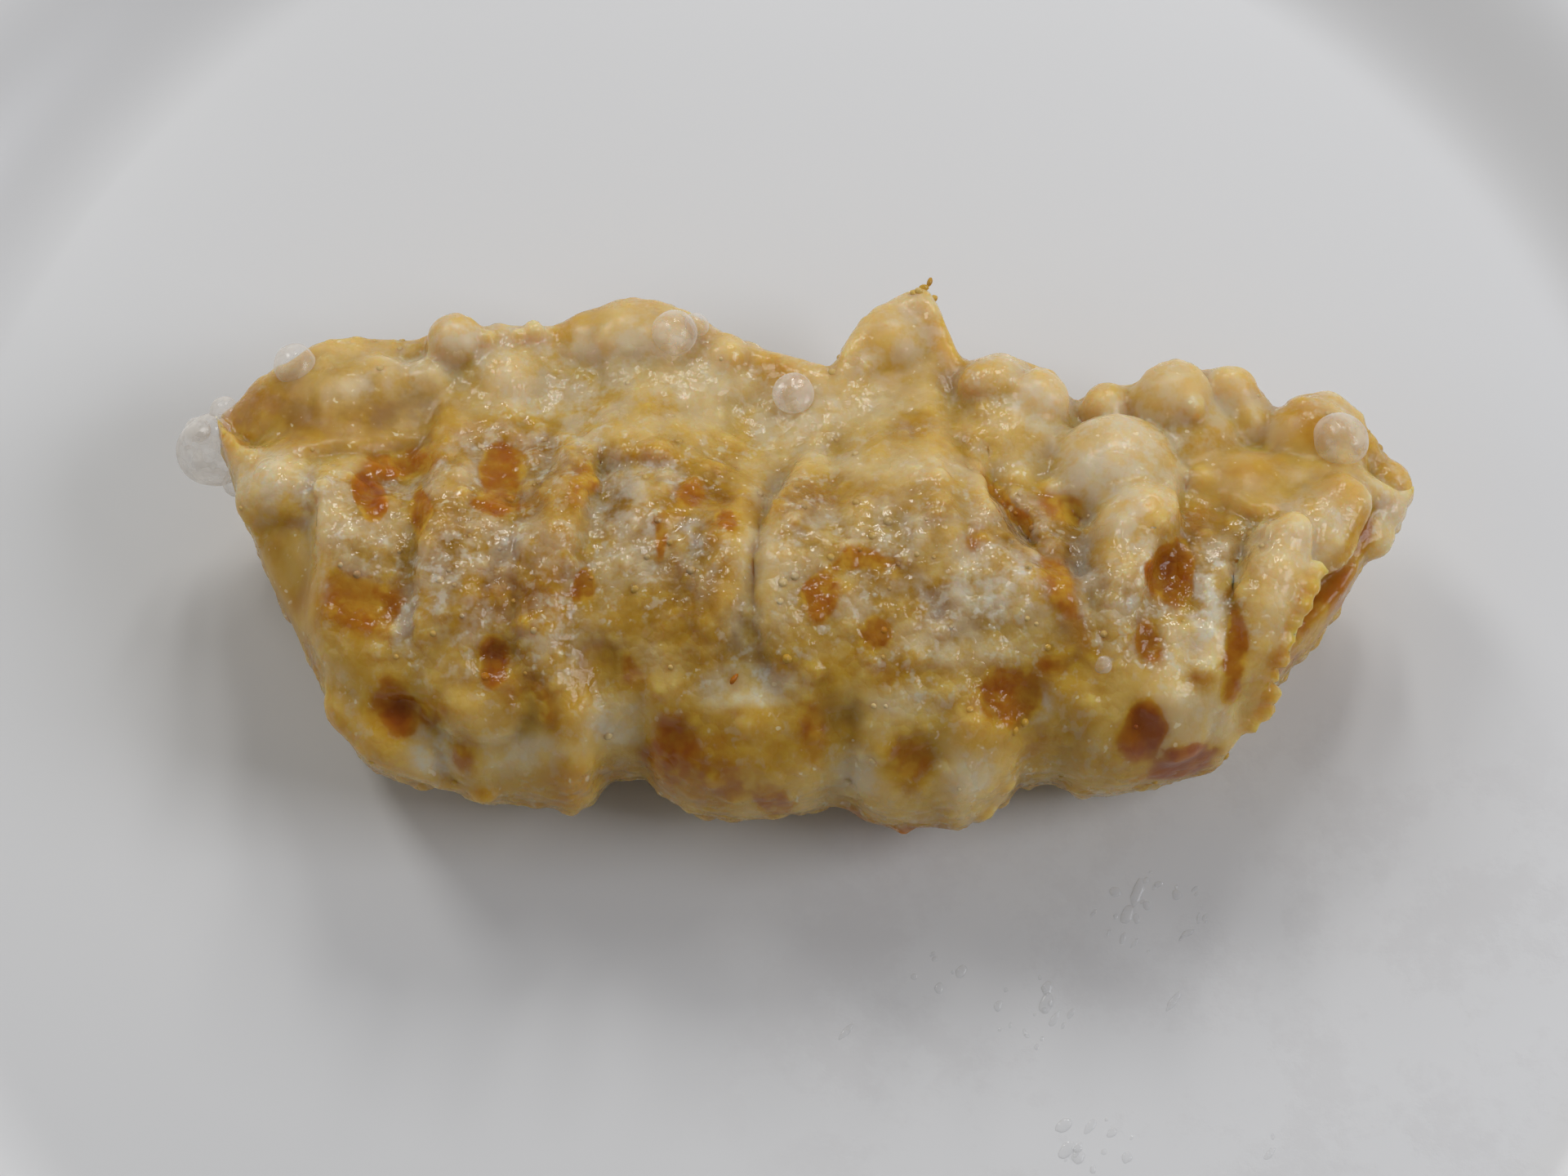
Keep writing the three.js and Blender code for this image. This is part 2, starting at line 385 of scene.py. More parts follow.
FOLDS = (
    # the left fronts
    Fold(((388, 556), (387, 600), (386, 640), (387, 690), (380, 725), (369, 765), (374, 790), (394, 806),
        (402, 835), (408, 870)), 1.25, 5.0, edge=0.5, groove=0.6, fade=(0.12, 0.3)),
    Fold(((522, 590), (512, 650), (509, 700), (510, 750), (503, 800), (490, 850)), 0.65, 3.0, edge=0.6,
        groove=0.8, fade=(0.25, 0.5)),
    Fold(((650, 550), (640, 620), (634, 680), (636, 740), (642, 790), (652, 850), (665, 900)), 0.5, 2.6,
        edge=0.7, groove=0.5, fade=(0.25, 0.5)),
    Fold(((728, 530), (727, 580), (719, 612), (708, 645), (692, 700)), -0.9, 2.8, edge=0.6, groove=0.6,
        fade=(0.2, 0.3)),
    Fold(((492, 838), (520, 868), (548, 892), (580, 908), (612, 906), (636, 884), (652, 850)), 0.9, 3.0,
        edge=0.55, groove=0.8, fade=(0.3, 0.3)),
    # the deep middle fold
    Fold(((966, 540), (932, 610), (920, 670), (906, 730), (890, 785), (868, 836)), -0.9, 4.0, edge=0.7,
        groove=0.5, reach=2.6, fade=(0.4, 0.25)),
    Fold(((1000, 530), (972, 572), (950, 615), (937, 660), (931, 710), (932, 760), (938, 800), (952, 850),
        (985, 900)), 1.7, 5.5, edge=0.5, groove=0.2, fade=(0.25, 0.45)),
    Fold(((1177, 452), (1190, 520), (1204, 575), (1212, 605), (1238, 643), (1266, 684), (1300, 715),
        (1326, 750), (1345, 800)), -1.9, 5.5, edge=0.5, groove=0.6, fade=(0.45, 0.35)),
    # the right pleats
    Fold(((1680, 600), (1662, 645), (1640, 682), (1606, 704), (1598, 726), (1574, 768), (1562, 800),
        (1546, 850)), -1.3, 5.0, edge=0.6, groove=0.8, reach=9.0, fade=(0.1, 0.12)),
    Fold(((1545, 640), (1528, 680), (1514, 730), (1503, 780), (1496, 850)), 0.4, 2.6, edge=0.6,
        groove=1.0, reach=1.6, fade=(0.3, 0.25)),
    # under the rolls and the frill
    Fold(((300, 640), (340, 634), (386, 638)), 0.4, 3.0, edge=0.6),
    Fold(((300, 548), (340, 557), (400, 552), (450, 550), (500, 545), (540, 536)), 0.8, 4.0, edge=0.7,
        groove=0.4, reach=2.2, fade=(0.25, 0.2)),
    Fold(((560, 548), (600, 540), (650, 536)), 0.5, 2.6, edge=0.5, groove=0.6, fade=(0.3, 0.3)),
    Fold(((668, 536), (706, 552), (740, 562), (790, 556), (846, 574), (905, 590)), 0.55, 3.0, edge=0.7,
        groove=0.9, reach=2.2, fade=(0.3, 0.4)),
    Fold(((1440, 600), (1496, 614), (1540, 628), (1580, 626), (1620, 606)), 0.6, 4.0, edge=0.7,
        groove=0.6, reach=2.0, fade=(0.3, 0.3)),
    # the dome and the serrated leaf
    Fold(((1440, 560), (1442, 600), (1436, 632), (1412, 660), (1404, 700), (1398, 770)), -1.2, 3.2,
        edge=0.4, groove=1.0, reach=2.0, fade=(0.2, 0.35)),
    Fold(((1604, 630), (1602, 700), (1582, 748), (1566, 790), (1550, 840), (1532, 890)), -1.3, 3.0,
        edge=0.4, groove=1.0, reach=3.0, fade=(0.15, 0.2)),
    Fold(((1548, 632), (1530, 668), (1516, 720), (1512, 745)), 0.6, 3.0, edge=0.5, groove=1.2, reach=1.6,
        fade=(0.2, 0.2)),
)

ROLLS = (
    Roll("left roll", ((300, 512), (350, 498), (420, 494), (490, 492), (536, 484)), (26, 54, 62, 56, 34),
        -2.6, blend=2.2),
    Roll("right roll", ((1470, 574), (1530, 588), (1590, 586), (1645, 566)), (34, 40, 38, 26), -1.7,
        blend=2.2),
    Roll("strand below the dome", ((1392, 606), (1376, 660), (1368, 710), (1362, 760), (1354, 800)),
        (40, 33, 32, 28, 14), -1.2, blend=2.0),
    Roll("arch over the pocket", ((1380, 590), (1330, 594), (1290, 600)), (24, 20, 14), -0.1),
    Roll("white ridge", ((1500, 672), (1490, 720), (1482, 770), (1478, 820), (1468, 890)),
        (13, 17, 18, 18, 10), -0.35, blend=0.8),
    Roll("serrated leaf", ((1586, 634), (1574, 665), (1562, 700), (1554, 735), (1548, 780), (1542, 820),
        (1530, 862), (1508, 900)), (16, 28, 38, 32, 23, 15, 15, 10), -0.9, blend=1.0),
    Roll("upright strand", ((552, 500), (552, 560), (542, 630)), (14, 18, 12), -0.9, blend=2.0),
    Roll("roll", ((702, 552), (697, 600), (684, 650), (668, 710), (664, 770), (676, 840)),
        (18, 26, 26, 26, 24, 10), -0.7, blend=1.4),
    Roll("low left knuckles", ((420, 866), (470, 906), (540, 930)), (24, 30, 20), -0.6, blend=1.6),
    Roll("orange crest", ((1282, 680), (1306, 725), (1330, 785)), (12, 22, 12), -0.4, blend=1.2),
    Roll("broad lower strand", ((1440, 780), (1428, 850), (1446, 905)), (16, 30, 18), -1.0, blend=1.6),
    Roll("left lip", ((914, 612), (900, 670), (888, 730), (868, 800)), (16, 32, 32, 16), -1.4, blend=1.6),
    Roll("rim of the middle fold", ((996, 568), (968, 630), (956, 690), (958, 750), (970, 820)),
        (14, 24, 26, 24, 14), -1.0, blend=1.4),
)

SWELLS = tuple(Swell(*row) for row in (
    # broad swells
    ((578, 720), (80, 170), 1.0), ((820, 700), (100, 170), 0.9), ((1080, 720), (150, 190), 1.5),
    ((335, 735), (60, 130), -1.0), ((1640, 730), (60, 130), -0.6, 35),
    # pits, hollows, dimples and the humps between them
    ((606, 806), (34, 36), -1.1), ((660, 858), (22, 32), -0.2, -25), ((488, 866), (36, 32), -1.2, 20),
    ((528, 914), (40, 36), -0.9), ((450, 606), (26, 32), -0.3), ((614, 590), (36, 46), -0.4, 15),
    ((440, 730), (58, 34), -0.4), ((492, 584), (60, 30), -0.8), ((738, 812), (42, 50), -0.6),
    ((748, 604), (28, 62), -0.4), ((850, 664), (20, 44), -0.4, -20), ((1120, 932), (44, 42), -0.9),
    ((1030, 880), (38, 32), -0.8), ((1240, 856), (60, 46), -1.1, 15), ((826, 912), (40, 36), -0.6),
    ((1006, 733), (24, 32), 0.3), ((1142, 742), (36, 34), -0.3), ((1190, 664), (26, 28), -0.5),
    ((1118, 524), (36, 26), -0.6), ((1030, 600), (54, 28), -0.6), ((1322, 694), (32, 66), -0.9, -12),
    ((1296, 640), (52, 34), -0.3), ((1244, 656), (34, 44), -1.8, -35), ((1438, 706), (32, 58), -0.7, -8),
    ((1410, 788), (24, 34), -0.7), ((1512, 806), (20, 64), -0.7, 4), ((1396, 894), (34, 46), -0.2, 25),
    ((1452, 932), (44, 22), -0.1, -10), ((1230, 730), (48, 44), 0.4), ((914, 764), (34, 66), 1.4),
    ((600, 520), (44, 30), -0.3), ((880, 470), (50, 36), 0.6), ((1000, 520), (50, 36), 0.4),
    # lobes and notches along the belly
    ((606, 950), (50, 40), 0.9), ((702, 960), (46, 44), 1.1), ((770, 930), (36, 40), -1.7),
    ((890, 960), (104, 50), 1.0), ((1028, 960), (32, 34), -1.1), ((1146, 976), (84, 44), 1.2),
    ((1266, 930), (36, 38), -1.7), ((1380, 930), (80, 50), 0.8),
    # knuckles above them
    ((570, 870), (46, 30), 0.6), ((700, 884), (50, 38), 0.7), ((930, 884), (46, 42), 0.8),
    ((1190, 894), (38, 36), 0.7), ((1310, 860), (36, 42), 0.6), ((810, 850), (46, 36), 0.5),
))

DOUGH_BLISTERS = tuple(Blister(*row) for row in (
    ((1366, 588), 78, 0.5, 0.8, 0.85), ((1402, 636), 40, -0.1, 2.0, 0.85),
    ((1240, 540), 74, -2.0, 2.2, 0.8), ((1458, 536), 58, -0.8, 1.0, 0.7),
    ((1604, 536), 54, -0.4, 0.8, 0.8), ((1616, 648), 50, -1.2, 1.0, 0.6),
    ((1650, 612), 34, -1.0, 1.2, 0.7), ((1584, 650), 20, 0.4, 1.2, 1.0), ((760, 410), 44, -1.1, 1.0, 0.9),
    ((716, 412), 34, -0.9, 1.0, 0.9), ((806, 412), 34, -0.9, 1.0, 0.9), ((466, 470), 32, 0.5, 1.0, 0.8),
    ((524, 466), 26, 0.3, 1.0, 0.8), ((620, 462), 32, -0.9, 1.4, 0.9), ((346, 590), 34, -0.7, 1.2, 0.7),
    ((314, 606), 30, -1.1, 1.0, 0.8), ((556, 418), 36, 0.0, 0.7), ((655, 406), 13, 0.3),
    ((634, 411), 8, 0.3), ((598, 414), 9, 0.3), ((890, 434), 22, -0.3, 0.9), ((1092, 416), 34, -1.4, 1.6),
    ((1199, 474), 26, 0.3, 0.8), ((1224, 468), 30, -0.3, 1.2), ((1270, 494), 38, 0.5, 0.6),
    ((1356, 498), 30, 0.1, 0.7), ((1436, 490), 48, 0.2, 0.7), ((1404, 490), 22, 0.1),
    ((1508, 482), 32, 0.3, 0.6), ((1524, 516), 36, -0.4, 1.0), ((1456, 512), 15, 2.6, 0.4),
    ((1443, 584), 12, 0.3, 0.5), ((1472, 588), 16, 0.1, 0.6), ((1700, 588), 30, -1.0),
    ((1682, 648), 30, -1.6, 0.5, 0.8), ((590, 960), 16, -1.2, 0.8),
))


@dataclass(frozen=True)
class Serration:
    """A row of teeth along a strand's right edge, in pixels, and how far out and up they stand."""

    strand: str = "serrated leaf"
    radius: Pair = (9.0, 14.0)
    spacing: float = 22.0
    first: int = 3
    out: float = 1.3
    lift: float = 0.5
    blend: float = 0.3
    seed: int = 7


SERRATION = Serration()


@dataclass(frozen=True)
class ClearBlister:
    """A thin clear bubble that stands on the frill."""

    at: Pair
    radius: float
    level: float
    squash: float = 0.85


CLEAR_BLISTERS = (
    ClearBlister((262, 551), 45, 17.6), ClearBlister((275, 503), 18, 18.8),
    ClearBlister((242, 526), 16, 18.2), ClearBlister((292, 590), 20, 18.6),
    ClearBlister((362, 448), 28, 21.0), ClearBlister((824, 408), 30, 21.6),
    ClearBlister((852, 398), 16, 20.9), ClearBlister((972, 482), 26, 21.2, 0.45),
    ClearBlister((1642, 540), 34, 23.2), ClearBlister((1350, 813), 13, 26.2),
)

SPOTS = (
    # browned, with a sharp edge or a lighter middle
    Spot((450, 606), (20, 30), 0.84, edge=0.36, ring=0.3),
    Spot((512, 622), (11, 32), 0.7, turn=-8, edge=0.42), Spot((440, 740), (52, 36), 0.6, edge=0.36),
    Spot((618, 576), (28, 34), 0.72, edge=0.42, ring=0.25),
    Spot((714, 716), (16, 24), 0.68, turn=8, edge=0.36),
    Spot((846, 606), (18, 18), 0.64, edge=0.42, ring=0.35),
    Spot((893, 637), (10, 14), 0.74, edge=0.42, ring=0.3), Spot((1004, 733), (22, 30), 0.66, edge=0.32),
    Spot((1052, 690), (48, 14), 0.6, turn=-20, edge=0.42), Spot((1071, 778), (18, 28), 0.64, edge=0.32),
    # The narrow streak at (1236, 624) is partly painted shade along the crevice beside the pocket.
    Spot((1142, 742), (30, 27), 0.42, ring=0.2), Spot((1236, 624), (9, 60), 0.62, turn=-35, edge=0.4),
    Spot((1442, 700), (30, 48), 0.72, turn=-8, edge=0.4),
    Spot((1510, 800), (15, 50), 0.68, turn=3, edge=0.32),
    Spot((1396, 896), (28, 38), 0.96, turn=25, edge=0.32),
    Spot((1452, 932), (38, 17), 1.0, turn=-12, edge=0.32),
    # browned, from the left end
    *spots_of(Tint.BROWN, (
        ((300, 508), (44, 26), 0.5, -30), ((430, 526), (140, 28), 0.4), ((340, 480), (34, 16), 0.4, -35),
        ((346, 720), (44, 100), 0.42), ((614, 745), (120, 100), 0.44, -10), ((362, 640), (28, 10), 0.42),
        # The spot at (488, 566) browns the recess under the flap's edge, partly with painted shade.
        ((372, 802), (22, 30), 0.46, -30), ((488, 566), (48, 18), 0.62), ((402, 766), (34, 22), 0.48, -35),
        ((606, 618), (24, 18), 0.74), ((606, 806), (20, 28), 0.96, -8), ((640, 836), (26, 36), 0.5),
        ((663, 856), (12, 28), 0.6, -25), ((486, 866), (27, 28), 0.92, 25), ((524, 872), (24, 14), 0.6),
        ((572, 912), (18, 26), 0.58), ((560, 800), (60, 80), 0.22), ((700, 965), (36, 26), 0.42),
        ((590, 975), (16, 10), 0.46),
        # the middle
        ((700, 556), (32, 22), 0.42), ((714, 596), (12, 26), 0.6),
        ((692, 680), (14, 26), 0.36), ((730, 808), (26, 34), 0.46), ((772, 816), (10, 20), 0.56, -15),
        ((850, 792), (9, 30), 0.34), ((780, 556), (56, 12), 0.44), ((866, 548), (28, 18), 0.34),
        ((806, 500), (24, 12), 0.42), ((828, 636), (28, 14), 0.54, -45), ((812, 662), (8, 18), 0.64),
        ((830, 740), (60, 60), 0.2), ((828, 916), (30, 38), 0.76, -20), ((885, 952), (66, 26), 0.58),
        ((945, 972), (20, 22), 0.76), ((880, 905), (20, 12), 0.46), ((990, 900), (16, 34), 0.56),
        ((960, 822), (16, 22), 0.46), ((1012, 790), (8, 20), 0.42), ((1082, 828), (12, 16), 0.48),
        ((1030, 602), (44, 20), 0.46), ((1110, 610), (30, 12), 0.34), ((1118, 524), (26, 15), 0.46),
        ((1190, 664), (18, 18), 0.54), ((1120, 930), (30, 28), 0.56), ((1160, 860), (60, 50), 0.24),
        ((1238, 856), (40, 38), 0.74, 20), ((1286, 814), (16, 12), 0.66), ((1258, 908), (40, 18), 0.46),
        ((750, 390), (60, 18), 0.26), ((690, 410), (14, 26), 0.42), ((846, 434), (14, 16), 0.4),
        ((930, 446), (36, 14), 0.36, 24), ((620, 524), (76, 20), 0.4), ((600, 548), (60, 18), 0.4),
        ((1128, 420), (52, 70), 0.33), ((1094, 455), (40, 16), 0.34), ((1200, 474), (22, 16), 0.46),
        # the right end
        # The spot at (1300, 622) is browning and painted shade in the arch under the dome.
        ((1300, 622), (38, 26), 0.58), ((1300, 724), (22, 50), 0.6, -25), ((1320, 790), (40, 22), 0.46),
        ((1424, 690), (16, 26), 0.9, -8), ((1420, 676), (14, 20), 0.86, 30), ((1410, 788), (17, 26), 0.62),
        ((1506, 842), (13, 18), 0.86, 3), ((1466, 832), (18, 14), 0.54), ((1545, 600), (110, 30), 0.36),
        ((1470, 540), (60, 40), 0.24), ((1600, 510), (40, 30), 0.42), ((1664, 658), (15, 36), 0.58, 20),
        ((1628, 742), (30, 74), 0.58, 36), ((1574, 806), (18, 40), 0.52, 34), ((1705, 580), (22, 18), 0.34),
        ((1350, 900), (26, 50), 0.26),
    )),
    # pale and frosted
    *spots_of(Tint.PALE, (
        ((770, 420), (90, 30), 0.7), ((1092, 410), (30, 30), 0.35), ((1100, 500), (110, 50), 0.3),
        ((560, 440), (120, 36), 0.5), ((560, 415), (40, 30), 0.8), ((1270, 490), (40, 40), 0.8),
        ((480, 468), (70, 26), 0.45), ((640, 468), (70, 34), 0.5), ((820, 470), (110, 34), 0.5),
        ((960, 510), (70, 40), 0.5), ((1440, 500), (90, 46), 0.6), ((1530, 500), (50, 50), 0.5),
        ((340, 590), (60, 40), 0.7), ((1700, 620), (30, 60), 0.7), ((1560, 720), (34, 100), 0.4),
        ((1450, 880), (70, 50), 0.4), ((420, 620), (46, 60), 0.5), ((560, 690), (50, 60), 0.3),
        ((500, 762), (16, 40), 0.75, 10), ((528, 916), (28, 30), 1.0), ((760, 606), (36, 50), 0.8),
        ((700, 500), (90, 50), 0.55), ((664, 770), (24, 44), 0.6), ((850, 664), (18, 40), 0.9, -20),
        ((920, 840), (60, 24), 0.8), ((640, 922), (50, 24), 0.6), ((760, 880), (44, 24), 0.6),
        ((1050, 940), (28, 24), 0.5), ((1186, 950), (30, 24), 0.5), ((850, 500), (90, 40), 0.35),
        ((950, 690), (14, 90), 0.5), ((1010, 655), (70, 34), 0.5), ((1110, 650), (34, 30), 0.7),
        ((1216, 716), (70, 44), 0.95), ((1150, 796), (66, 18), 0.5), ((1110, 862), (40, 20), 0.55),
        ((1362, 560), (86, 84), 0.8), ((1380, 690), (30, 110), 0.7), ((1240, 540), (60, 50), 0.4),
        ((1335, 710), (20, 60), 0.7, -15), ((1478, 750), (18, 84), 1.0, 8), ((1440, 800), (40, 40), 0.5),
        ((1600, 650), (60, 50), 0.55), ((1270, 868), (24, 26), 0.8, 30), ((1664, 730), (6, 50), 0.8, 36),
        ((914, 764), (24, 44), 0.4),
    )),
    # soaked with oil; the strip at (430, 536) under the left flap, the pocket at (1238, 640) and the band
    # at (1440, 650) under the right roll are painted shade as well
    *spots_of(Tint.DEEP, (
        ((430, 536), (130, 20), 0.6), ((300, 508), (44, 26), 0.3), ((1555, 604), (100, 20), 0.45),
        ((620, 530), (90, 24), 0.5), ((780, 556), (100, 18), 0.5), ((1030, 602), (50, 26), 0.5),
        ((1118, 524), (36, 22), 0.5), ((1440, 650), (60, 30), 0.5), ((1238, 640), (30, 50), 0.8, -35),
        ((420, 490), (140, 60), 0.7), ((1540, 570), (110, 50), 0.2), ((610, 740), (130, 112), 0.62),
    )),
    # darker pockets and pits: the filling's grey showing through the skin, and painted shade in the
    # recesses
    *spots_of(Tint.SHADE, (
        ((1236, 636), (18, 44), 0.8, -35), ((914, 764), (18, 40), 0.2), ((930, 650), (14, 70), 0.4, 8),
        ((640, 856), (44, 40), 0.7), ((738, 812), (26, 36), 0.5), ((1124, 930), (24, 26), 0.9),
        ((1030, 880), (30, 30), 0.5), ((1130, 620), (40, 30), 0.5), ((1312, 690), (34, 60), 1.0, -15),
        ((750, 596), (26, 46), 0.7), ((856, 664), (18, 40), 0.6, -20), ((1460, 660), (30, 30), 0.5),
    )),
    # sleek
    *spots_of(Tint.SMOOTH, (
        ((1430, 915), (80, 50), 0.8), ((346, 730), (50, 110), 1.0), ((760, 400), (90, 34), 0.9),
        ((1110, 430), (66, 66), 1.0), ((430, 500), (140, 66), 1.0), ((560, 415), (44, 34), 0.9),
        ((1370, 570), (100, 100), 0.75), ((1440, 490), (120, 50), 0.9), ((1270, 490), (46, 46), 0.9),
        ((1540, 560), (130, 76), 1.0), ((1620, 740), (60, 90), 0.7), ((930, 660), (30, 110), 0.7),
    )),
)


# ---- Places along paths


NEAR_BY = 4.0  # pixels within which all of a path's stretches count alike for the way along it


def path_distance(places: Array, path: Path) -> tuple[Array, Array]:
    """Measure how far places lie from a path in the view.

    Args:
        places: Pixels, one row of two each.
        path: The path's points, in pixels.

    Returns:
        Signed distance in pixels, positive to the right of a falling path or above a level one, and how far
        along the path the nearest point lies, from 0 to 1.
    """
    points = np.array(path, dtype=float)
    lengths = np.linalg.norm(np.diff(points, axis=0), axis=1)
    starts = np.concatenate([[0.0], np.cumsum(lengths)])
    best = np.full(len(places), np.inf)
    signed = np.zeros(len(places))
    along = np.zeros(len(places))
    weights = np.zeros(len(places))
    for start, step, length, run in zip(points[:-1], np.diff(points, axis=0), lengths, starts):
        offset = places - start
        share = np.clip((offset @ step) / length**2, 0.0, 1.0)
        away = offset - share[:, None] * step
        distance = np.linalg.norm(away, axis=1)
        side = -np.sign(step[0] * offset[:, 1] - step[1] * offset[:, 0])
        nearer = distance < best
        best = np.where(nearer, distance, best)
        signed = np.where(nearer, side * distance, signed)
        weight = (distance + NEAR_BY) ** -3
        along += weight * (run + share * length) / starts[-1]
        weights += weight
    return signed, along / weights


def ellipse_distance(places: Array, at: Pair, size: Pair, turn: float) -> Array:
    """Return how far places lie from an ellipse's middle, with 1 on its edge.

    Args:
        places: Pixels, one row of two each.
        at: The ellipse's middle.
        size: Its half width and half height.
        turn: Its turn in degrees, clockwise in the view.

    Returns:
        One number for each place.
    """
    cos, sin = cos_sin(turn)
    across, down = places[:, 0] - at[0], places[:, 1] - at[1]
    return np.hypot((across * cos + down * sin) / size[0], (down * cos - across * sin) / size[1])


# ---- The dumpling's solid form


LAST_CELL = 1.001  # a little more than one step, so that reading stays inside the last cell of a grid


@dataclass
class DumplingForm:
    """The dumpling's body, frill, folds and blisters as one distance field, and its skin.

    Lengths and heights are in mm, and shares run from the belly at 0 to the seam at 1.
    """

    rest: float
    thickness: float = 20.4
    crest_share: float = 0.42
    crest_taper: float = 0.75
    fullness: float = 2.7
    left_fullness: float = 6.0
    right_fullness: float = 3.6
    tip_fullness: int = 9
    tip_taper: float = 0.6
    least_width: float = 0.4
    belly_height: float = 8.2
    seam_height: float = 12.0
    seam_wave: float = 0.7
    seam_wavelength: float = 13.0
    evening: Triple = (0.25, 0.5, 0.25)
    frill_depth: float = 5.0
    frill_share: float = 0.42
    frill_thickness: float = 3.4
    least_frill: float = 0.3
    tip_thickness: float = 4.4
    lift_share: float = 0.62
    base_from: float = 0.2
    base_to: float = 0.6
    base_overlap: float = 0.06
    belly_fade: float = 3.2
    seam_fade: float = 1.6
    least_wall: float = 0.8
    belly_slope: float = 16.0
    tip_slope: float = 6.0
    swell_reach: float = 0.8
    step: float = 0.4
    low: Pair = (-47.0, -23.2)
    high: Pair = (50.6, 27.6)
    margin: float = 1.6
    top: float = 29.0
    settling: int = 4
    sightings: int = 6
    least_slope: float = 0.4
    join_reach: float = 2.5
    relaxing: int = 3
    xs: Array = field(init=False)
    ys: Array = field(init=False)
    front: Array = field(init=False)
    back: Array = field(init=False)
    inside: Array = field(init=False)
    seam: Array = field(init=False)
    belly: Array = field(init=False)

    def __post_init__(self) -> None:
        """Work out the heights of front and back over the plan."""
        self.xs = np.arange(self.low[0], self.high[0], self.step)
        self.ys = np.arange(self.low[1], self.high[1], self.step)
        self.lay_out()

    def outline(self, pixels: Path, level: float) -> tuple[Array, float, float]:
        """Return one side of the outline over the plan's columns.

        Args:
            pixels: The side's points in the view, from left to right.
            level: Height at which they lie, in mm.

        Returns:
            Y of the side at each column, and X of its first and last point.
        """
        plan = VIEW.on_level(np.array(pixels, dtype=float), level)
        plan = plan[np.argsort(plan[:, 0])]
        side = np.interp(self.xs, plan[:, 0], plan[:, 1])
        even = np.convolve(np.pad(side, 1, mode="edge"), self.evening, mode="valid")
        return even, plan[0, 0], plan[-1, 0]

    def lay_out(self) -> None:
        """Work out the plain section at every column and add the front's relief."""
        self.seam, left, right = self.outline(SEAM_OUTLINE, SEAM_LEVEL)
        self.belly, _, _ = self.outline(BELLY_OUTLINE, BELLY_LEVEL)
        middle, half = (left + right) / 2, (right - left) / 2
        t = (self.xs - middle) / half
        power = np.where(t < 0, self.left_fullness, self.right_fullness)
        full = np.clip(1.0 - np.abs(t) ** power, 0.0, 1.0)
        tips = np.clip(1.0 - np.abs(t) ** self.tip_fullness, 0.0, 1.0) ** self.tip_taper
        width = np.maximum(self.seam - self.belly, self.least_width)
        wave = self.seam_wave * np.sin(2 * np.pi * self.xs / self.seam_wavelength) * tips
        frill_middle = self.seam_height + wave
        crest = mix(frill_middle + self.tip_thickness / 2, self.thickness, full**self.crest_taper)
        edge = mix(frill_middle, self.belly_height, full)
        frill_from = 1.0 - np.minimum(self.frill_share, self.frill_depth / width)
        frill_half = self.frill_thickness / 2 * np.maximum(tips, self.least_frill)

        def columns(values: Array) -> Array:
            """Stand a row of column values against the plan's rows."""
            return np.broadcast_to(values[:, None], (len(self.xs), len(self.ys)))

        y = self.ys[None, :]
        past_belly, past_seam = y - columns(self.belly), columns(self.seam) - y
        share = np.clip(past_belly / columns(width), 0.0, 1.0)
        rounded = columns(frill_half) * quarter_round(past_seam / columns(frill_half))
        rise = mix(columns(edge), columns(crest), full_round(share / self.crest_share, self.fullness))
        fall = np.clip((share - self.crest_share) / (columns(frill_from) - self.crest_share), 0.0, 1.0)
        slope = mix(columns(frill_middle) + rounded, columns(crest), 1.0 - smooth(fall))
        front = np.where(share < self.crest_share, rise, slope)
        lift = mix(frill_middle - self.tip_thickness / 2, 0.0, smooth(full / self.lift_share))
        lifted = columns(np.maximum(lift, 0.0))
        base_end = columns(frill_from) + self.base_overlap
        risen = smooth((share - self.base_to) / (base_end - self.base_to))
        under = mix(lifted, columns(frill_middle) - rounded, risen)
        foot = mix(columns(edge), lifted, quarter_round(share / self.base_from))
        self.back = np.where(share < self.base_from, foot, under)
        self.front = front
        fade = smooth(past_belly / self.belly_fade) * smooth(past_seam / self.seam_fade)
        for _ in range(self.settling):
            raised = front + self.relief().reshape(front.shape) * fade
            self.front = (self.front + np.maximum(raised, self.back + self.least_wall * fade)) / 2
        half_thick = (self.front - self.back) / 2
        outside = np.minimum(past_belly * self.belly_slope, past_seam * 2 * columns(frill_half))
        outside = np.minimum(outside, columns(half - np.abs(self.xs - middle)) * self.tip_slope)
        self.inside = np.where(outside > 0, half_thick**2, outside)

    def plan_pixels(self) -> Array:
        """Return the view's pixel for each point of the front over the plan."""
        x, y = np.meshgrid(self.xs, self.ys, indexing="ij")
        return VIEW.project(np.column_stack([x.ravel(), y.ravel(), self.front.ravel() + self.rest]))

    def relief(self) -> Array:
        """Work out what folds and swells add to the front.

        Returns:
            One height in mm for each point of the plan.
        """
        places = self.plan_pixels()
        to_mm = 1.0 / VIEW.pixels_per_mm
        total = np.zeros(len(places))
        for fold in FOLDS:
            total += fold_relief(places, fold, to_mm)
        for swell in SWELLS:
            away = ellipse_distance(places, swell.at, swell.size, swell.turn)
            total += swell.height * (1.0 - smooth(away * self.swell_reach))
        return total

    def height_at(self, plan: Array, heights: Array) -> Array:
        """Read a height over the plan between its points.

        Args:
            plan: X and Y in mm, one row each.
            heights: Heights at the plan's points.

        Returns:
            One height for each row.
        """
        across = np.clip((plan[:, 0] - self.low[0]) / self.step, 0, len(self.xs) - LAST_CELL)
        along = np.clip((plan[:, 1] - self.low[1]) / self.step, 0, len(self.ys) - LAST_CELL)
        i, j = across.astype(int), along.astype(int)
        u, v = across - i, along - j
        low = mix(heights[i, j], heights[i + 1, j], u)
        high = mix(heights[i, j + 1], heights[i + 1, j + 1], u)
        return mix(low, high, v)

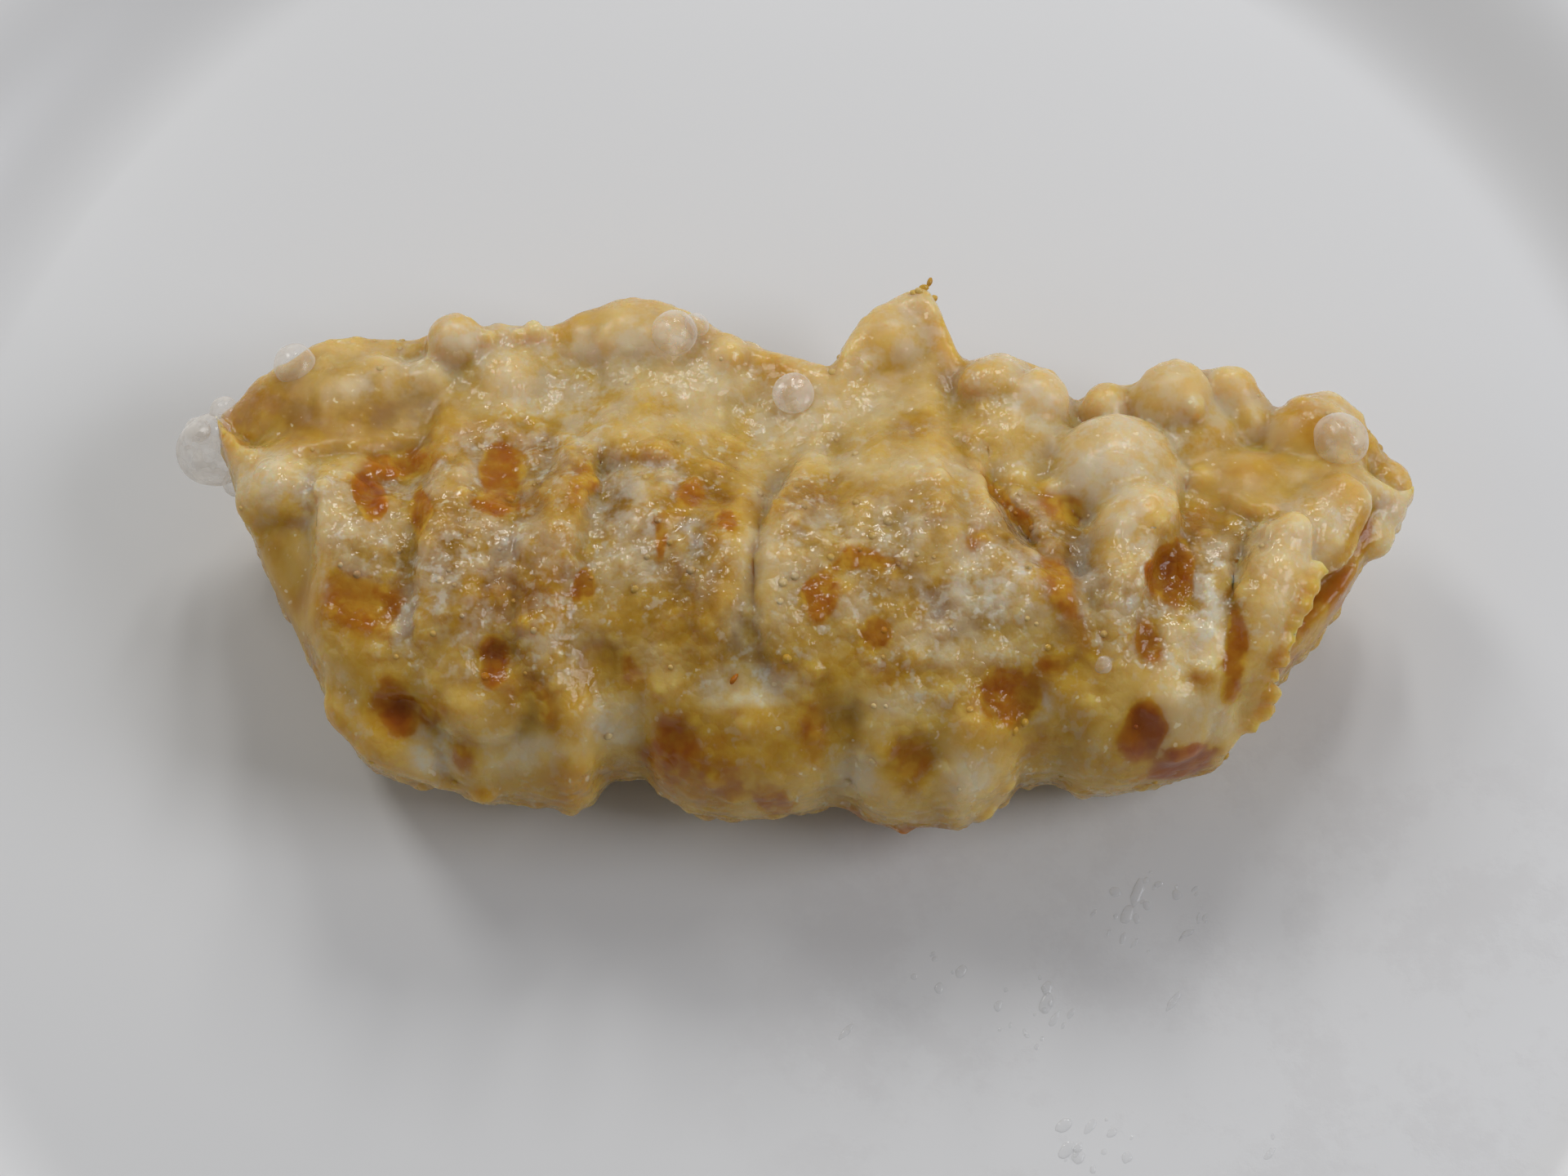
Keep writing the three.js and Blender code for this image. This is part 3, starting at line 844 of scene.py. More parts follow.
    def on_front(self, pixels: Array) -> Array:
        """Return the places of the front that show at pixels of the view.

        Args:
            pixels: Pixels, one row of two each.

        Returns:
            Places in mm, one row of three each.
        """
        level = np.full(len(pixels), self.rest + self.seam_height)
        for _ in range(self.sightings):
            plan = VIEW.on_level(pixels, level)
            level = self.rest + self.height_at(plan, self.front)
        return np.column_stack([plan, level])

    def distances(self) -> Array:
        """Work out the distance field of the whole dumpling.

        Returns:
            Distances in mm over the grid, negative inside.
        """
        zs = np.arange(-self.margin, self.top, self.step)
        middle = (self.front + self.back) / 2
        body = (zs[None, None, :] - middle[:, :, None]) ** 2 - self.inside[:, :, None]
        slopes = np.gradient(body, self.step)
        body = body / (np.sqrt(sum(slope**2 for slope in slopes)) + self.least_slope)
        for roll in ROLLS:
            places = self.on_front(np.array(roll.path, dtype=float)) + (0, 0, roll.lift)
            self.add_roll(body, places, np.array(roll.radii) / VIEW.pixels_per_mm, roll.blend)
        for place, radius, squash, blend in self.blister_places():
            self.add_ball(body, place, radius, squash, blend)
        return body

    def blister_places(self) -> list[tuple[Array, float, float, float]]:
        """List the dough blisters and the teeth of the serrated strand.

        Returns:
            Each one's middle, radius, squash and blend, in mm.
        """
        found = []
        for blister in DOUGH_BLISTERS:
            place = self.on_front(np.array([blister.at], dtype=float))[0] + (0, 0, blister.lift)
            radius = blister.radius / VIEW.pixels_per_mm
            found.append((place, radius, blister.squash, blister.blend))
        return found + self.teeth()

    def teeth(self) -> list[tuple[Array, float, float, float]]:
        """Set out the beads along the serrated strand's right edge.

        Returns:
            The beads, in the form of blisters.
        """
        strand = next(roll for roll in ROLLS if roll.name == SERRATION.strand)
        path = np.array(strand.path, dtype=float)
        lengths = np.concatenate([[0.0], np.cumsum(np.linalg.norm(np.diff(path, axis=0), axis=1))])
        rng = np.random.default_rng(SERRATION.seed)
        found = []
        spacing = SERRATION.spacing
        for run in np.arange(spacing * SERRATION.first, lengths[-1], spacing):
            pixel = np.array([[np.interp(run, lengths, path[:, 0]), np.interp(run, lengths, path[:, 1])]])
            out = np.interp(run, lengths, strand.radii) * SERRATION.out / VIEW.pixels_per_mm
            radius = rng.uniform(*SERRATION.radius) / VIEW.pixels_per_mm
            place = self.on_front(pixel)[0] + (out, 0.0, strand.lift + SERRATION.lift)
            found.append((place, radius, 1.0, SERRATION.blend))
        return found

    @property
    def origin(self) -> Array:
        """The grid's lowest corner in mm."""
        return np.array([self.low[0], self.low[1], self.rest - self.margin])

    def box_around(self, low: Array, high: Array, shape: tuple[int, int, int]) -> tuple[tuple, list]:
        """Return the part of the grid between two corners.

        Args:
            low: The lower corner in mm.
            high: The upper corner in mm.
            shape: The grid's size.

        Returns:
            The part's slices, and the places of its points in mm, one array for each axis.
        """
        first = np.maximum(((low - self.origin) / self.step).astype(int), 0)
        last = np.minimum(((high - self.origin) / self.step).astype(int) + 1, shape)
        axes = [self.origin[a] + self.step * np.arange(first[a], last[a]) for a in range(3)]
        part = tuple(slice(first[a], last[a]) for a in range(3))
        return part, np.meshgrid(*axes, indexing="ij")

    def add_ball(self, body: Array, place: Array, radius: float, squash: float, blend: float) -> None:
        """Join one ball to the field, in the part of the grid it reaches.

        Args:
            body: The field, changed in place.
            place: The ball's middle in mm.
            radius: Its radius in mm.
            squash: Its height as a share of its width.
            blend: Width of the rounding at its foot, in mm.
        """
        reach = radius + self.join_reach
        part, (x, y, z) = self.box_around(place - reach, place + reach, body.shape)
        upward = (z - place[2]) / squash
        away = np.sqrt((x - place[0]) ** 2 + (y - place[1]) ** 2 + upward**2) - radius
        body[part] = soft_union(body[part], away, blend)

    def add_roll(self, body: Array, places: Array, radii: Array, blend: float) -> None:
        """Join one rounded strand to the field, in the part of the grid it reaches.

        Args:
            body: The field, changed in place.
            places: The strand's middle points in mm.
            radii: Its radius at each of them, in mm.
            blend: Width of the rounding at its foot, in mm.
        """
        reach = radii.max() + self.join_reach
        part, grid = self.box_around(places.min(axis=0) - reach, places.max(axis=0) + reach, body.shape)
        points = np.stack(grid, axis=-1)
        nearest = np.full(points.shape[:3], np.inf)
        for start, end, first, second in zip(places[:-1], places[1:], radii[:-1], radii[1:]):
            step = end - start
            share = np.clip((points - start) @ step / (step @ step), 0.0, 1.0)
            away = np.linalg.norm(points - start - share[..., None] * step, axis=-1)
            nearest = np.minimum(nearest, away - mix(first, second, share))
        body[part] = soft_union(body[part], nearest, blend)

    def skin(self) -> tuple[Array, Array]:
        """Make the dumpling's skin.

        Returns:
            Its points in mm and its four-cornered faces.
        """
        points, faces = surface_of(self.distances())
        points = points * self.step + self.origin
        return relax_points(points, faces, self.relaxing), faces


def fold_relief(places: Array, fold: Fold, to_mm: float) -> Array:
    """Return the height that one fold adds.

    Args:
        places: Pixels, one row of two each.
        fold: The fold.
        to_mm: Millimetres to a pixel.

    Returns:
        One height in mm for each place.
    """
    distance, along = path_distance(places, fold.path)
    size = abs(fold.lift)
    side = distance * to_mm * math.copysign(1.0, fold.lift)
    hollow = -size * fold.groove
    low = hollow * np.exp(np.minimum(side + fold.edge, 0.0) / fold.reach)
    high = size * np.exp(-((np.maximum(side - fold.edge, 0.0) / fold.relax) ** 2))
    step = smooth((side + fold.edge) / (2 * fold.edge))
    ends = smooth(along / fold.fade[0]) * smooth((1.0 - along) / fold.fade[1])
    near = np.exp(-((side / (fold.relax * 2.0)) ** 2))
    return mix(low, high, step) * ends * near


def surface_of(values: Array) -> tuple[Array, Array]:
    """Return the closed surface where a field crosses zero, one point to each cell that it crosses.

    Args:
        values: The field over a grid, negative inside the solid and positive all round the grid's rim.

    Returns:
        Points in grid steps, and faces of four points each, facing outwards.
    """
    cells = np.array(values.shape) - 1
    sums = np.zeros((np.prod(cells), 3))
    counts = np.zeros(np.prod(cells))
    edges = []
    for axis in range(3):
        b, c = (axis + 1) % 3, (axis + 2) % 3
        first = np.moveaxis(values, axis, 0)[:-1]
        second = np.moveaxis(values, axis, 0)[1:]
        found = np.argwhere((first < 0) != (second < 0))
        start, end = first[tuple(found.T)], second[tuple(found.T)]
        order = [axis] + [a for a in range(3) if a != axis]
        index = np.empty_like(found)
        index[:, order] = found
        place = index.astype(float)
        place[:, axis] += start / (start - end)
        corners = []
        for shift_b, shift_c in ((-1, -1), (0, -1), (0, 0), (-1, 0)):
            cell = index.copy()
            cell[:, b] += shift_b
            cell[:, c] += shift_c
            flat = np.ravel_multi_index(cell.T, cells)
            counts += np.bincount(flat, minlength=len(counts))
            for a in range(3):
                sums[:, a] += np.bincount(flat, weights=place[:, a], minlength=len(counts))
            corners.append(flat)
        quads = np.column_stack(corners)
        quads[start >= 0] = quads[start >= 0][:, ::-1]
        edges.append(quads)
    used = np.flatnonzero(counts)
    renumber = np.full(len(counts), -1)
    renumber[used] = np.arange(len(used))
    return sums[used] / counts[used, None], renumber[np.concatenate(edges)]


class Neighbours:
    """Which points of a mesh of four-cornered faces share an edge."""

    def __init__(self, faces: Array, count: int) -> None:
        """List the edges both ways round.

        Args:
            faces: The mesh's faces, four point numbers each.
            count: How many points the mesh has.
        """
        pairs = np.concatenate([faces[:, [i, (i + 1) % 4]] for i in range(4)])
        pairs = np.unique(np.sort(pairs, axis=1), axis=0)
        self.count = count
        self.ends = np.concatenate([pairs, pairs[:, ::-1]])
        self.degree = np.bincount(self.ends[:, 0], minlength=count)

    def mean(self, points: Array) -> Array:
        """Average the places of each point's neighbours.

        Args:
            points: Points, one row of three each.

        Returns:
            One mean place for each point.
        """
        start, end = self.ends.T
        sums = [np.bincount(start, weights=points[end, a], minlength=self.count) for a in range(3)]
        return np.column_stack(sums) / self.degree[:, None]


RELAX_WEIGHTS = (0.5, -0.53)  # how far points go to their neighbours' mean, and how far out again


def relax_points(points: Array, faces: Array, rounds: int) -> Array:
    """Smooth a mesh's points without shrinking it.

    Args:
        points: Points, one row of three each.
        faces: Four-cornered faces.
        rounds: How often it is smoothed and let out again.

    Returns:
        The smoothed points.
    """
    near = Neighbours(faces, len(points))
    for _ in range(rounds):
        for weight in RELAX_WEIGHTS:
            points = points + (near.mean(points) - points) * weight
    return points


def hollowness(points: Array, faces: Array, normals: Array, rounds: int) -> Array:
    """Return how deep each point lies below its wider surroundings, in mm.

    Args:
        points: Points, one row of three each.
        faces: Four-cornered faces.
        normals: The outward direction at each point.
        rounds: How often the surroundings are averaged, the wider the more.

    Returns:
        One depth for each point, negative on ridges.
    """
    near = Neighbours(faces, len(points))
    even = points
    for _ in range(rounds):
        even = near.mean(even)
    return np.sum((even - points) * normals, axis=1)


LEAST_LENGTH = 1e-9  # keeps a point without a direction from being divided by zero


def point_normals(points: Array, faces: Array) -> Array:
    """Work out the outward direction at each point of a mesh.

    Args:
        points: Points, one row of three each.
        faces: Four-cornered faces.

    Returns:
        One direction of length 1 for each point.
    """
    across = points[faces[:, 2]] - points[faces[:, 0]]
    along = points[faces[:, 3]] - points[faces[:, 1]]
    facing = np.cross(across, along)
    total = np.column_stack([
        sum(np.bincount(faces[:, i], weights=facing[:, a], minlength=len(points)) for i in range(4))
        for a in range(3)
    ])
    return total / np.maximum(np.linalg.norm(total, axis=1, keepdims=True), LEAST_LENGTH)


def make_mesh(name: str, points: Array, faces: list | Array) -> Object:
    """Make a smooth-shaded object from points in mm.

    Args:
        name: The object's name.
        points: Points in mm, one row of three each.
        faces: Faces as lists of point numbers.

    Returns:
        The object, linked to the scene, with its place in its mesh.
    """
    mesh = bpy.data.meshes.new(name)
    mesh.from_pydata((np.asarray(points) * MM).tolist(), [], [list(map(int, face)) for face in faces])
    mesh.polygons.foreach_set("use_smooth", np.ones(len(mesh.polygons), dtype=bool))
    mesh.update()
    piece = bpy.data.objects.new(name, mesh)
    bpy.context.scene.collection.objects.link(piece)
    return piece


# ---- Building node trees

MIX_SHARE, MIX_FIRST, MIX_SECOND = 0, 6, 7  # a colour Mix node's inputs
MIX_RESULT = 2  # and its output


@dataclass(frozen=True)
class Cloud:
    """Noise of a wavelength in mm: the band of it that counts, and what the band's ends become."""

    length: float
    detail: float
    rough: float
    low: float = 0.0
    high: float = 1.0
    to_low: float = 0.0
    to_high: float = 1.0


@dataclass(frozen=True)
class Tree:
    """A node tree under construction."""

    tree: NodeTree

    def feed(self, node: bpy.types.Node, inputs: dict) -> None:
        """Give a node its inputs.

        Args:
            node: The node.
            inputs: For each input, by name or number, a socket to link or a value to set.
        """
        for key, value in inputs.items():
            if isinstance(value, Socket):
                self.tree.links.new(value, node.inputs[key])
            else:
                node.inputs[key].default_value = value

    def add(self, kind: str, inputs: dict | None = None, settings: dict | None = None) -> bpy.types.Node:
        """Add a node.

        Args:
            kind: The node's class name.
            inputs: For each input, by name or number, a socket to link or a value to set.
            settings: Values of the node's own properties.

        Returns:
            The node.
        """
        node = self.tree.nodes.new(kind)
        for key, value in (settings or {}).items():
            setattr(node, key, value)
        self.feed(node, inputs or {})
        return node

    def math(self, operation: str, first: object, second: object, clamp: bool = False) -> Socket:
        """Add a Math node and return its output."""
        settings = {"operation": operation, "use_clamp": clamp}
        return self.add("ShaderNodeMath", {0: first, 1: second}, settings).outputs[0]

    def times(self, *values: object, clamp: bool = False) -> Socket:
        """Multiply two or more values in their order.

        Args:
            values: Sockets or numbers.
            clamp: Whether the product is held between 0 and 1.

        Returns:
            The product.
        """
        *others, last = values
        first = self.times(*others) if len(others) > 1 else others[0]
        return self.math("MULTIPLY", first, last, clamp)

    def plus(self, *values: object, clamp: bool = False) -> Socket:
        """Add up two or more values in their order.

        Args:
            values: Sockets or numbers.
            clamp: Whether the sum is held between 0 and 1.

        Returns:
            The sum.
        """
        *others, last = values
        first = self.plus(*others) if len(others) > 1 else others[0]
        return self.math("ADD", first, last, clamp)

    def ranged(self, value: object, low: float, high: float, to_low: float = 0.0,
               to_high: float = 1.0) -> Socket:
        """Add a Map Range node and return its output."""
        inputs = {"Value": value, "From Min": low, "From Max": high, "To Min": to_low, "To Max": to_high}
        return self.add("ShaderNodeMapRange", inputs, {"interpolation_type": "SMOOTHSTEP"}).outputs[0]

    def noise(self, place: object, cloud: Cloud) -> Socket:
        """Add a Noise Texture and return its plain value."""
        inputs = {"Vector": place, "Scale": 1.0 / (cloud.length * MM), "Detail": cloud.detail,
                  "Roughness": cloud.rough}
        return self.add("ShaderNodeTexNoise", inputs).outputs[0]

    def cloud(self, place: object, cloud: Cloud) -> Socket:
        """Add a noise and return what its band becomes."""
        value = self.noise(place, cloud)
        return self.ranged(value, cloud.low, cloud.high, cloud.to_low, cloud.to_high)

    def cells(self, place: object, length: float) -> Socket:
        """Add a Voronoi Texture with cells of a size in mm and return the distance to their middles."""
        inputs = {"Vector": place, "Scale": 1.0 / (length * MM)}
        return self.add("ShaderNodeTexVoronoi", inputs).outputs["Distance"]

    def attribute(self, name: str) -> Socket:
        """Add an Attribute node and return its value."""
        return self.add("ShaderNodeAttribute", settings={"attribute_name": name}).outputs["Fac"]

    def place(self) -> Socket:
        """Add a Texture Coordinate node and return its object coordinates."""
        return self.add("ShaderNodeTexCoord").outputs["Object"]

    def facing(self, blend: float) -> Socket:
        """Add a Layer Weight node and return how far the surface turns away."""
        return self.add("ShaderNodeLayerWeight", {"Blend": blend}).outputs["Facing"]

    def blend(self, share: object, first: object, second: object, mode: str = "MIX") -> Socket:
        """Add a colour Mix node.

        Args:
            share: How much of the second colour there is.
            first: The first colour.
            second: The second colour.
            mode: How the second is laid over the first.

        Returns:
            The mixed colour.
        """
        node = self.add("ShaderNodeMix", settings={"data_type": "RGBA", "blend_type": mode})
        self.feed(node, {MIX_SHARE: share, MIX_FIRST: first, MIX_SECOND: second})
        return node.outputs[MIX_RESULT]

    def ramp(self, value: object, stops: tuple[float, ...], colours: tuple[Triple, ...]) -> Socket:
        """Add a Color Ramp and return its colour.

        Args:
            value: The socket that drives it.
            stops: Each stop's place.
            colours: Each stop's linear colour.

        Returns:
            The ramp's colour output.
        """
        node = self.add("ShaderNodeValToRGB", {"Fac": value})
        elements = node.color_ramp.elements
        while len(elements) < len(stops):
            elements.new(stops[-1])
        for element, stop, colour in zip(elements, stops, colours):
            element.position = stop
            element.color = (*colour, 1.0)
        return node.outputs["Color"]

    def bump(self, height: object, strength: float, relief: float) -> Socket:
        """Add a Bump node of a relief in mm and return its normal."""
        inputs = {"Strength": strength, "Distance": relief * MM, "Height": height}
        return self.add("ShaderNodeBump", inputs).outputs["Normal"]

    def chance(self, seed: object) -> Socket:
        """Add a Random Value node and return its number between 0 and 1."""
        return self.add("FunctionNodeRandomValue", {"Seed": seed}, {"data_type": "FLOAT"}).outputs[1]

    def round_ball(self, fineness: int) -> Socket:
        """Add an Ico Sphere node of radius 1 and return its mesh."""
        inputs = {"Radius": 1.0, "Subdivisions": fineness}
        return self.add("GeometryNodeMeshIcoSphere", inputs).outputs["Mesh"]

    def instances(self, points: Socket, shape: Socket, inputs: dict) -> Socket:
        """Stand a shape on each point.

        Args:
            points: The points.
            shape: The shape.
            inputs: Further inputs of the node that places it.

        Returns:
            All the shapes as one mesh.
        """
        placed = {"Points": points, "Instance": shape, **inputs}
        shapes = self.add("GeometryNodeInstanceOnPoints", placed).outputs[0]
        return self.add("GeometryNodeRealizeInstances", {"Geometry": shapes}).outputs[0]

    def finished(self, geometry: object, finish: object) -> None:
        """Shade a geometry smoothly, give it a finish and make it what the tree puts out.

        Args:
            geometry: The geometry.
            finish: Its material.
        """
        soft = self.add("GeometryNodeSetShadeSmooth", {"Geometry": geometry}).outputs[0]
        dressed = self.add("GeometryNodeSetMaterial", {"Geometry": soft, "Material": finish}).outputs[0]
        self.add("NodeGroupOutput", {"Mesh": dressed})


def new_group(name: str, kind: str, inputs: dict[str, str], outputs: dict[str, str]) -> Tree:
    """Start a node group.

    Args:
        name: The group's name.
        kind: The type of its tree.
        inputs: The short name of each input's socket type.
        outputs: The short name of each output's socket type.

    Returns:
        The group's tree, without nodes.
    """
    group = bpy.data.node_groups.new(name, kind)
    for side, sockets in (("INPUT", inputs), ("OUTPUT", outputs)):
        for label, socket in sockets.items():
            group.interface.new_socket(name=label, in_out=side, socket_type="NodeSocket" + socket)
    return Tree(group)


def new_material(name: str) -> tuple[Material, Tree, bpy.types.Node]:
    """Start a material with one Principled shader.

    Args:
        name: The material's name.

    Returns:
        The material, its tree and its shader node.
    """
    material = bpy.data.materials.new(name)
    material.use_nodes = True
    return material, Tree(material.node_tree), material.node_tree.nodes["Principled BSDF"]


# ---- Finishes


@dataclass(frozen=True)
class FriedDough:
    """Oily fried dough, from cream through gold and orange to red-brown."""

    name: str = "fried_dough"
    cream: Triple = (0.78, 0.605, 0.31)
    straw: Triple = (0.70, 0.47, 0.12)
    gold: Triple = (0.60, 0.345, 0.038)
    orange: Triple = (0.47, 0.195, 0.014)
    rust: Triple = (0.42, 0.135, 0.007)
    red_brown: Triple = (0.34, 0.085, 0.006)
    stops: tuple[float, ...] = (0.0, 0.22, 0.42, 0.62, 0.82, 1.0)
    pale: Colour = (0.70, 0.64, 0.50, 1.0)
    glint_and_grain_colour: Colour = (0.92, 0.82, 0.58, 1.0)
    filling_and_shade: Colour = (0.62, 0.55, 0.52, 1.0)
    soaked_and_shaded: Colour = (0.57, 0.48, 0.30, 1.0)
    flattening: Triple = (1.0, 1.0, 0.5)
    sleek_grain: float = 0.12
    crust_from: float = 0.42
    crust_to: float = 0.60
    mottle: Cloud = Cloud(3.8, 3.0, 0.55, 0.36, 0.64, -0.09, 0.09)
    fleck: Cloud = Cloud(1.0, 2.0, 0.5, 0.34, 0.66, -0.035, 0.035)
    blotch: Cloud = Cloud(1.6, 2.0, 0.6, 0.36, 0.64, -0.12, 0.10)
    soaking: Cloud = Cloud(2.4, 3.0, 0.6, 0.36, 0.62, 1.1, 0.5)
    crust_dryness: float = 0.8
    crust_clearness: float = 0.96
    frosting: Cloud = Cloud(1.9, 3.0, 0.6, 0.36, 0.60)
    frost_share: float = 0.82
    grains: Cloud = Cloud(0.8, 2.0, 0.6, 0.50, 0.66)
    strewn: Cloud = Cloud(3.2, 2.0, 0.6, 0.44, 0.60, 0.04, 0.42)
    glint_and_grain_dots: Cloud = Cloud(0.6, 1.0, 0.5, 0.67, 0.74)
    glint_and_grain_share: float = 1.3
    filling_and_shade_share: float = 0.8
    lumps: Cloud = Cloud(1.5, 1.0, 0.5)
    lump_height: float = 1.3
    bubble_size: float = 0.85
    bubble_height: float = -1.1
    grit: Cloud = Cloud(0.42, 1.0, 0.6)
    grit_height: float = 0.5
    granular: Cloud = Cloud(4.5, 2.0, 0.5, 0.40, 0.56, 0.4, 1.0)
    wetness: Cloud = Cloud(1.3, 2.0, 0.6, 0.38, 0.50)
    crust_oil: float = 0.70
    dry_rough: float = 0.40
    oily_rough: float = 0.10
    sleek_rough: float = 0.36
    bump: float = 0.65
    relief: float = 0.26
    scatter: float = 0.95
    scatter_radius: Triple = (1.0, 0.55, 0.26)
    scatter_depth: float = 4.0
    gloss: float = 0.27

    def group(self) -> NodeTree:
        """Build the node group that colours and roughens fried dough.

        Returns:
            The group's tree.
        """
        marks = {name: "Float" for name in ("Tone", "Pale", "Shade", "Sleek", "Deep")}
        made = {"Color": "Color", "Roughness": "Float", "Height": "Float"}
        t = new_group("fried_skin", "ShaderNodeTree", marks, made)
        source = t.add("NodeGroupInput").outputs
        place = t.add("ShaderNodeMapping", {"Vector": t.place(), "Scale": self.flattening}).outputs[0]
        rugged = t.ranged(source["Sleek"], 0.0, 1.0, 1.0, self.sleek_grain)
        crusty = t.ranged(source["Tone"], self.crust_from, self.crust_to)
        flecks = t.times(t.cloud(place, self.fleck), rugged)
        blotches = t.times(t.cloud(place, self.blotch), crusty)
        tone = t.plus(source["Tone"], t.plus(t.cloud(place, self.mottle), flecks, blotches))
        browning = (self.cream, self.straw, self.gold, self.orange, self.rust, self.red_brown)
        colour = t.ramp(tone, self.stops, browning)

        # Darker where the dough is soaked with oil, and where painted shade lies in hollows, under the
        # rolls and in the pocket.
        dry = t.math("SUBTRACT", 1.0, t.times(crusty, self.crust_dryness))
        soak_and_shade = t.times(source["Deep"], dry, t.cloud(place, self.soaking), clamp=True)
        colour = t.blend(soak_and_shade, colour, self.soaked_and_shaded, "MULTIPLY")

        clear = t.math("SUBTRACT", 1.0, t.times(crusty, self.crust_clearness))
        strewn = t.cloud(place, self.strewn)
        frost = t.times(source["Pale"], t.cloud(place, self.frosting), self.frost_share)
        grains = t.times(t.cloud(place, self.grains), rugged, strewn)
        colour = t.blend(t.times(t.plus(frost, grains, clamp=True), clear), colour, self.pale)
        # Painted glints: small bright dots in the colour, partly white grains of the crust and partly
        # standing in for glints of light.
        glint_and_grain_dots = t.times(t.cloud(place, self.glint_and_grain_dots), strewn)
        colour = t.blend(t.times(glint_and_grain_dots, t.times(clear, self.glint_and_grain_share)), colour, self.glint_and_grain_colour)
        # Multiplies in the filling's grey seen through the skin, and painted shade in pockets and pits.
        shade = t.times(source["Shade"], clear, self.filling_and_shade_share)
        colour = t.blend(shade, colour, self.filling_and_shade, "MULTIPLY")

        away = t.cells(t.place(), self.bubble_size)
        bubbles = t.times(t.times(away, away), self.bubble_height)
        fine = t.plus(bubbles, t.times(t.noise(t.place(), self.grit), self.grit_height))
        lumps = t.times(t.noise(t.place(), self.lumps), self.lump_height)
        height = t.times(t.plus(lumps, t.times(fine, t.cloud(place, self.granular))), rugged)

        oily = t.math("MAXIMUM", t.cloud(place, self.wetness), t.times(crusty, self.crust_oil))
        rough = t.ranged(oily, 0.0, 1.0, self.dry_rough, self.oily_rough)
        rough = t.math("MAXIMUM", rough, t.times(source["Sleek"], self.sleek_rough))
        t.add("NodeGroupOutput", {"Color": colour, "Roughness": rough, "Height": height})
        return t.tree

    def material(self, group: NodeTree) -> Material:
        """Build the dough's material.

        Args:
            group: The node group for fried skin.

        Returns:
            The material, which reads the marks of the piece it is on.
        """
        material, t, shader = new_material(self.name)
        marks = {name: t.attribute(name.lower()) for name in ("Tone", "Pale", "Shade", "Sleek", "Deep")}
        skin = t.add("ShaderNodeGroup", marks, {"node_tree": group})
        t.feed(shader, {
            "Base Color": skin.outputs["Color"],
            "Roughness": skin.outputs["Roughness"],
            "Normal": t.bump(skin.outputs["Height"], self.bump, self.relief),
            "Subsurface Weight": self.scatter,
            "Subsurface Radius": self.scatter_radius,
            "Subsurface Scale": self.scatter_depth * MM,
            "Specular IOR Level": self.gloss,
        })
        return material


@dataclass(frozen=True)
class BlisterFilm:
    """The thin clear film of a fried bubble."""

    name: str = "clear_blister"
    colour: Colour = (0.93, 0.88, 0.81, 1.0)
    facing: float = 0.35
    turned: Pair = (0.05, 0.9)
    cover: Pair = (0.16, 0.56)
    milk: Cloud = Cloud(1.6, 2.0, 0.6, 0.40, 0.62, 0.0, 0.20)
    dents: Cloud = Cloud(1.0, 1.0, 0.5)
    bump: float = 0.5
    relief: float = 0.25
    rough: float = 0.12
    coat: float = 0.5
    coat_rough: float = 0.04

    def material(self) -> Material:
        """Build the film's material, clearer where it is seen square on.

        Returns:
            The material.
        """
        material, t, shader = new_material(self.name)
        film = t.ranged(t.facing(self.facing), *self.turned, *self.cover)
        t.feed(shader, {
            "Alpha": t.plus(film, t.cloud(t.place(), self.milk), clamp=True),
            "Normal": t.bump(t.noise(t.place(), self.dents), self.bump, self.relief),
            "Base Color": self.colour,
            "Roughness": self.rough,
            "Coat Weight": self.coat,
            "Coat Roughness": self.coat_rough,
        })
        return material


@dataclass(frozen=True)
class Glaze:
    """White gloss glaze with a thin film of grease here and there."""

    name: str = "glaze"
    colour: Colour = (0.77, 0.77, 0.765, 1.0)
    greased: Colour = (0.735, 0.73, 0.725, 1.0)
    smear_at: Triple = (0.034, -0.030, 0.007)
    smear_size: Triple = (0.050, 0.034, 0.030)
    smear_edge: float = 0.45
    patches: Cloud = Cloud(9.0, 6.0, 0.7, 0.47, 0.62)
    film_share: float = 0.8
    clean_rough: float = 0.22
    film_rough: float = 0.15
    waves: Cloud = Cloud(22.0, 2.0, 0.5)
    ripples: Cloud = Cloud(1.5, 2.0, 0.5)
    bump: float = 0.25
    relief: float = 0.1
    coat: float = 0.06
    coat_rough: float = 0.12
    gloss: float = 0.32

    def material(self) -> Material:
        """Build the glaze's material.

        Returns:
            The material.
        """
        material, t, shader = new_material(self.name)
        place = t.place()
        smeared = {"Vector": place, "Location": self.smear_at, "Scale": self.smear_size}
        smear = t.add("ShaderNodeMapping", smeared, {"vector_type": "TEXTURE"}).outputs[0]
        fading = {"gradient_type": "SPHERICAL"}
        greasy = t.add("ShaderNodeTexGradient", {"Vector": smear}, fading).outputs["Fac"]
        film = t.times(t.cloud(place, self.patches), t.ranged(greasy, 0.0, self.smear_edge))
        waves = t.plus(t.noise(place, self.waves), t.times(film, t.noise(place, self.ripples)))
        t.feed(shader, {
            "Roughness": t.ranged(film, 0.0, 1.0, self.clean_rough, self.film_rough),
            "Base Color": t.blend(t.times(film, self.film_share), self.colour, self.greased),
            "Normal": t.bump(waves, self.bump, self.relief),
            "Coat Weight": self.coat,
            "Coat Roughness": self.coat_rough,
            "Specular IOR Level": self.gloss,
        })
        return material


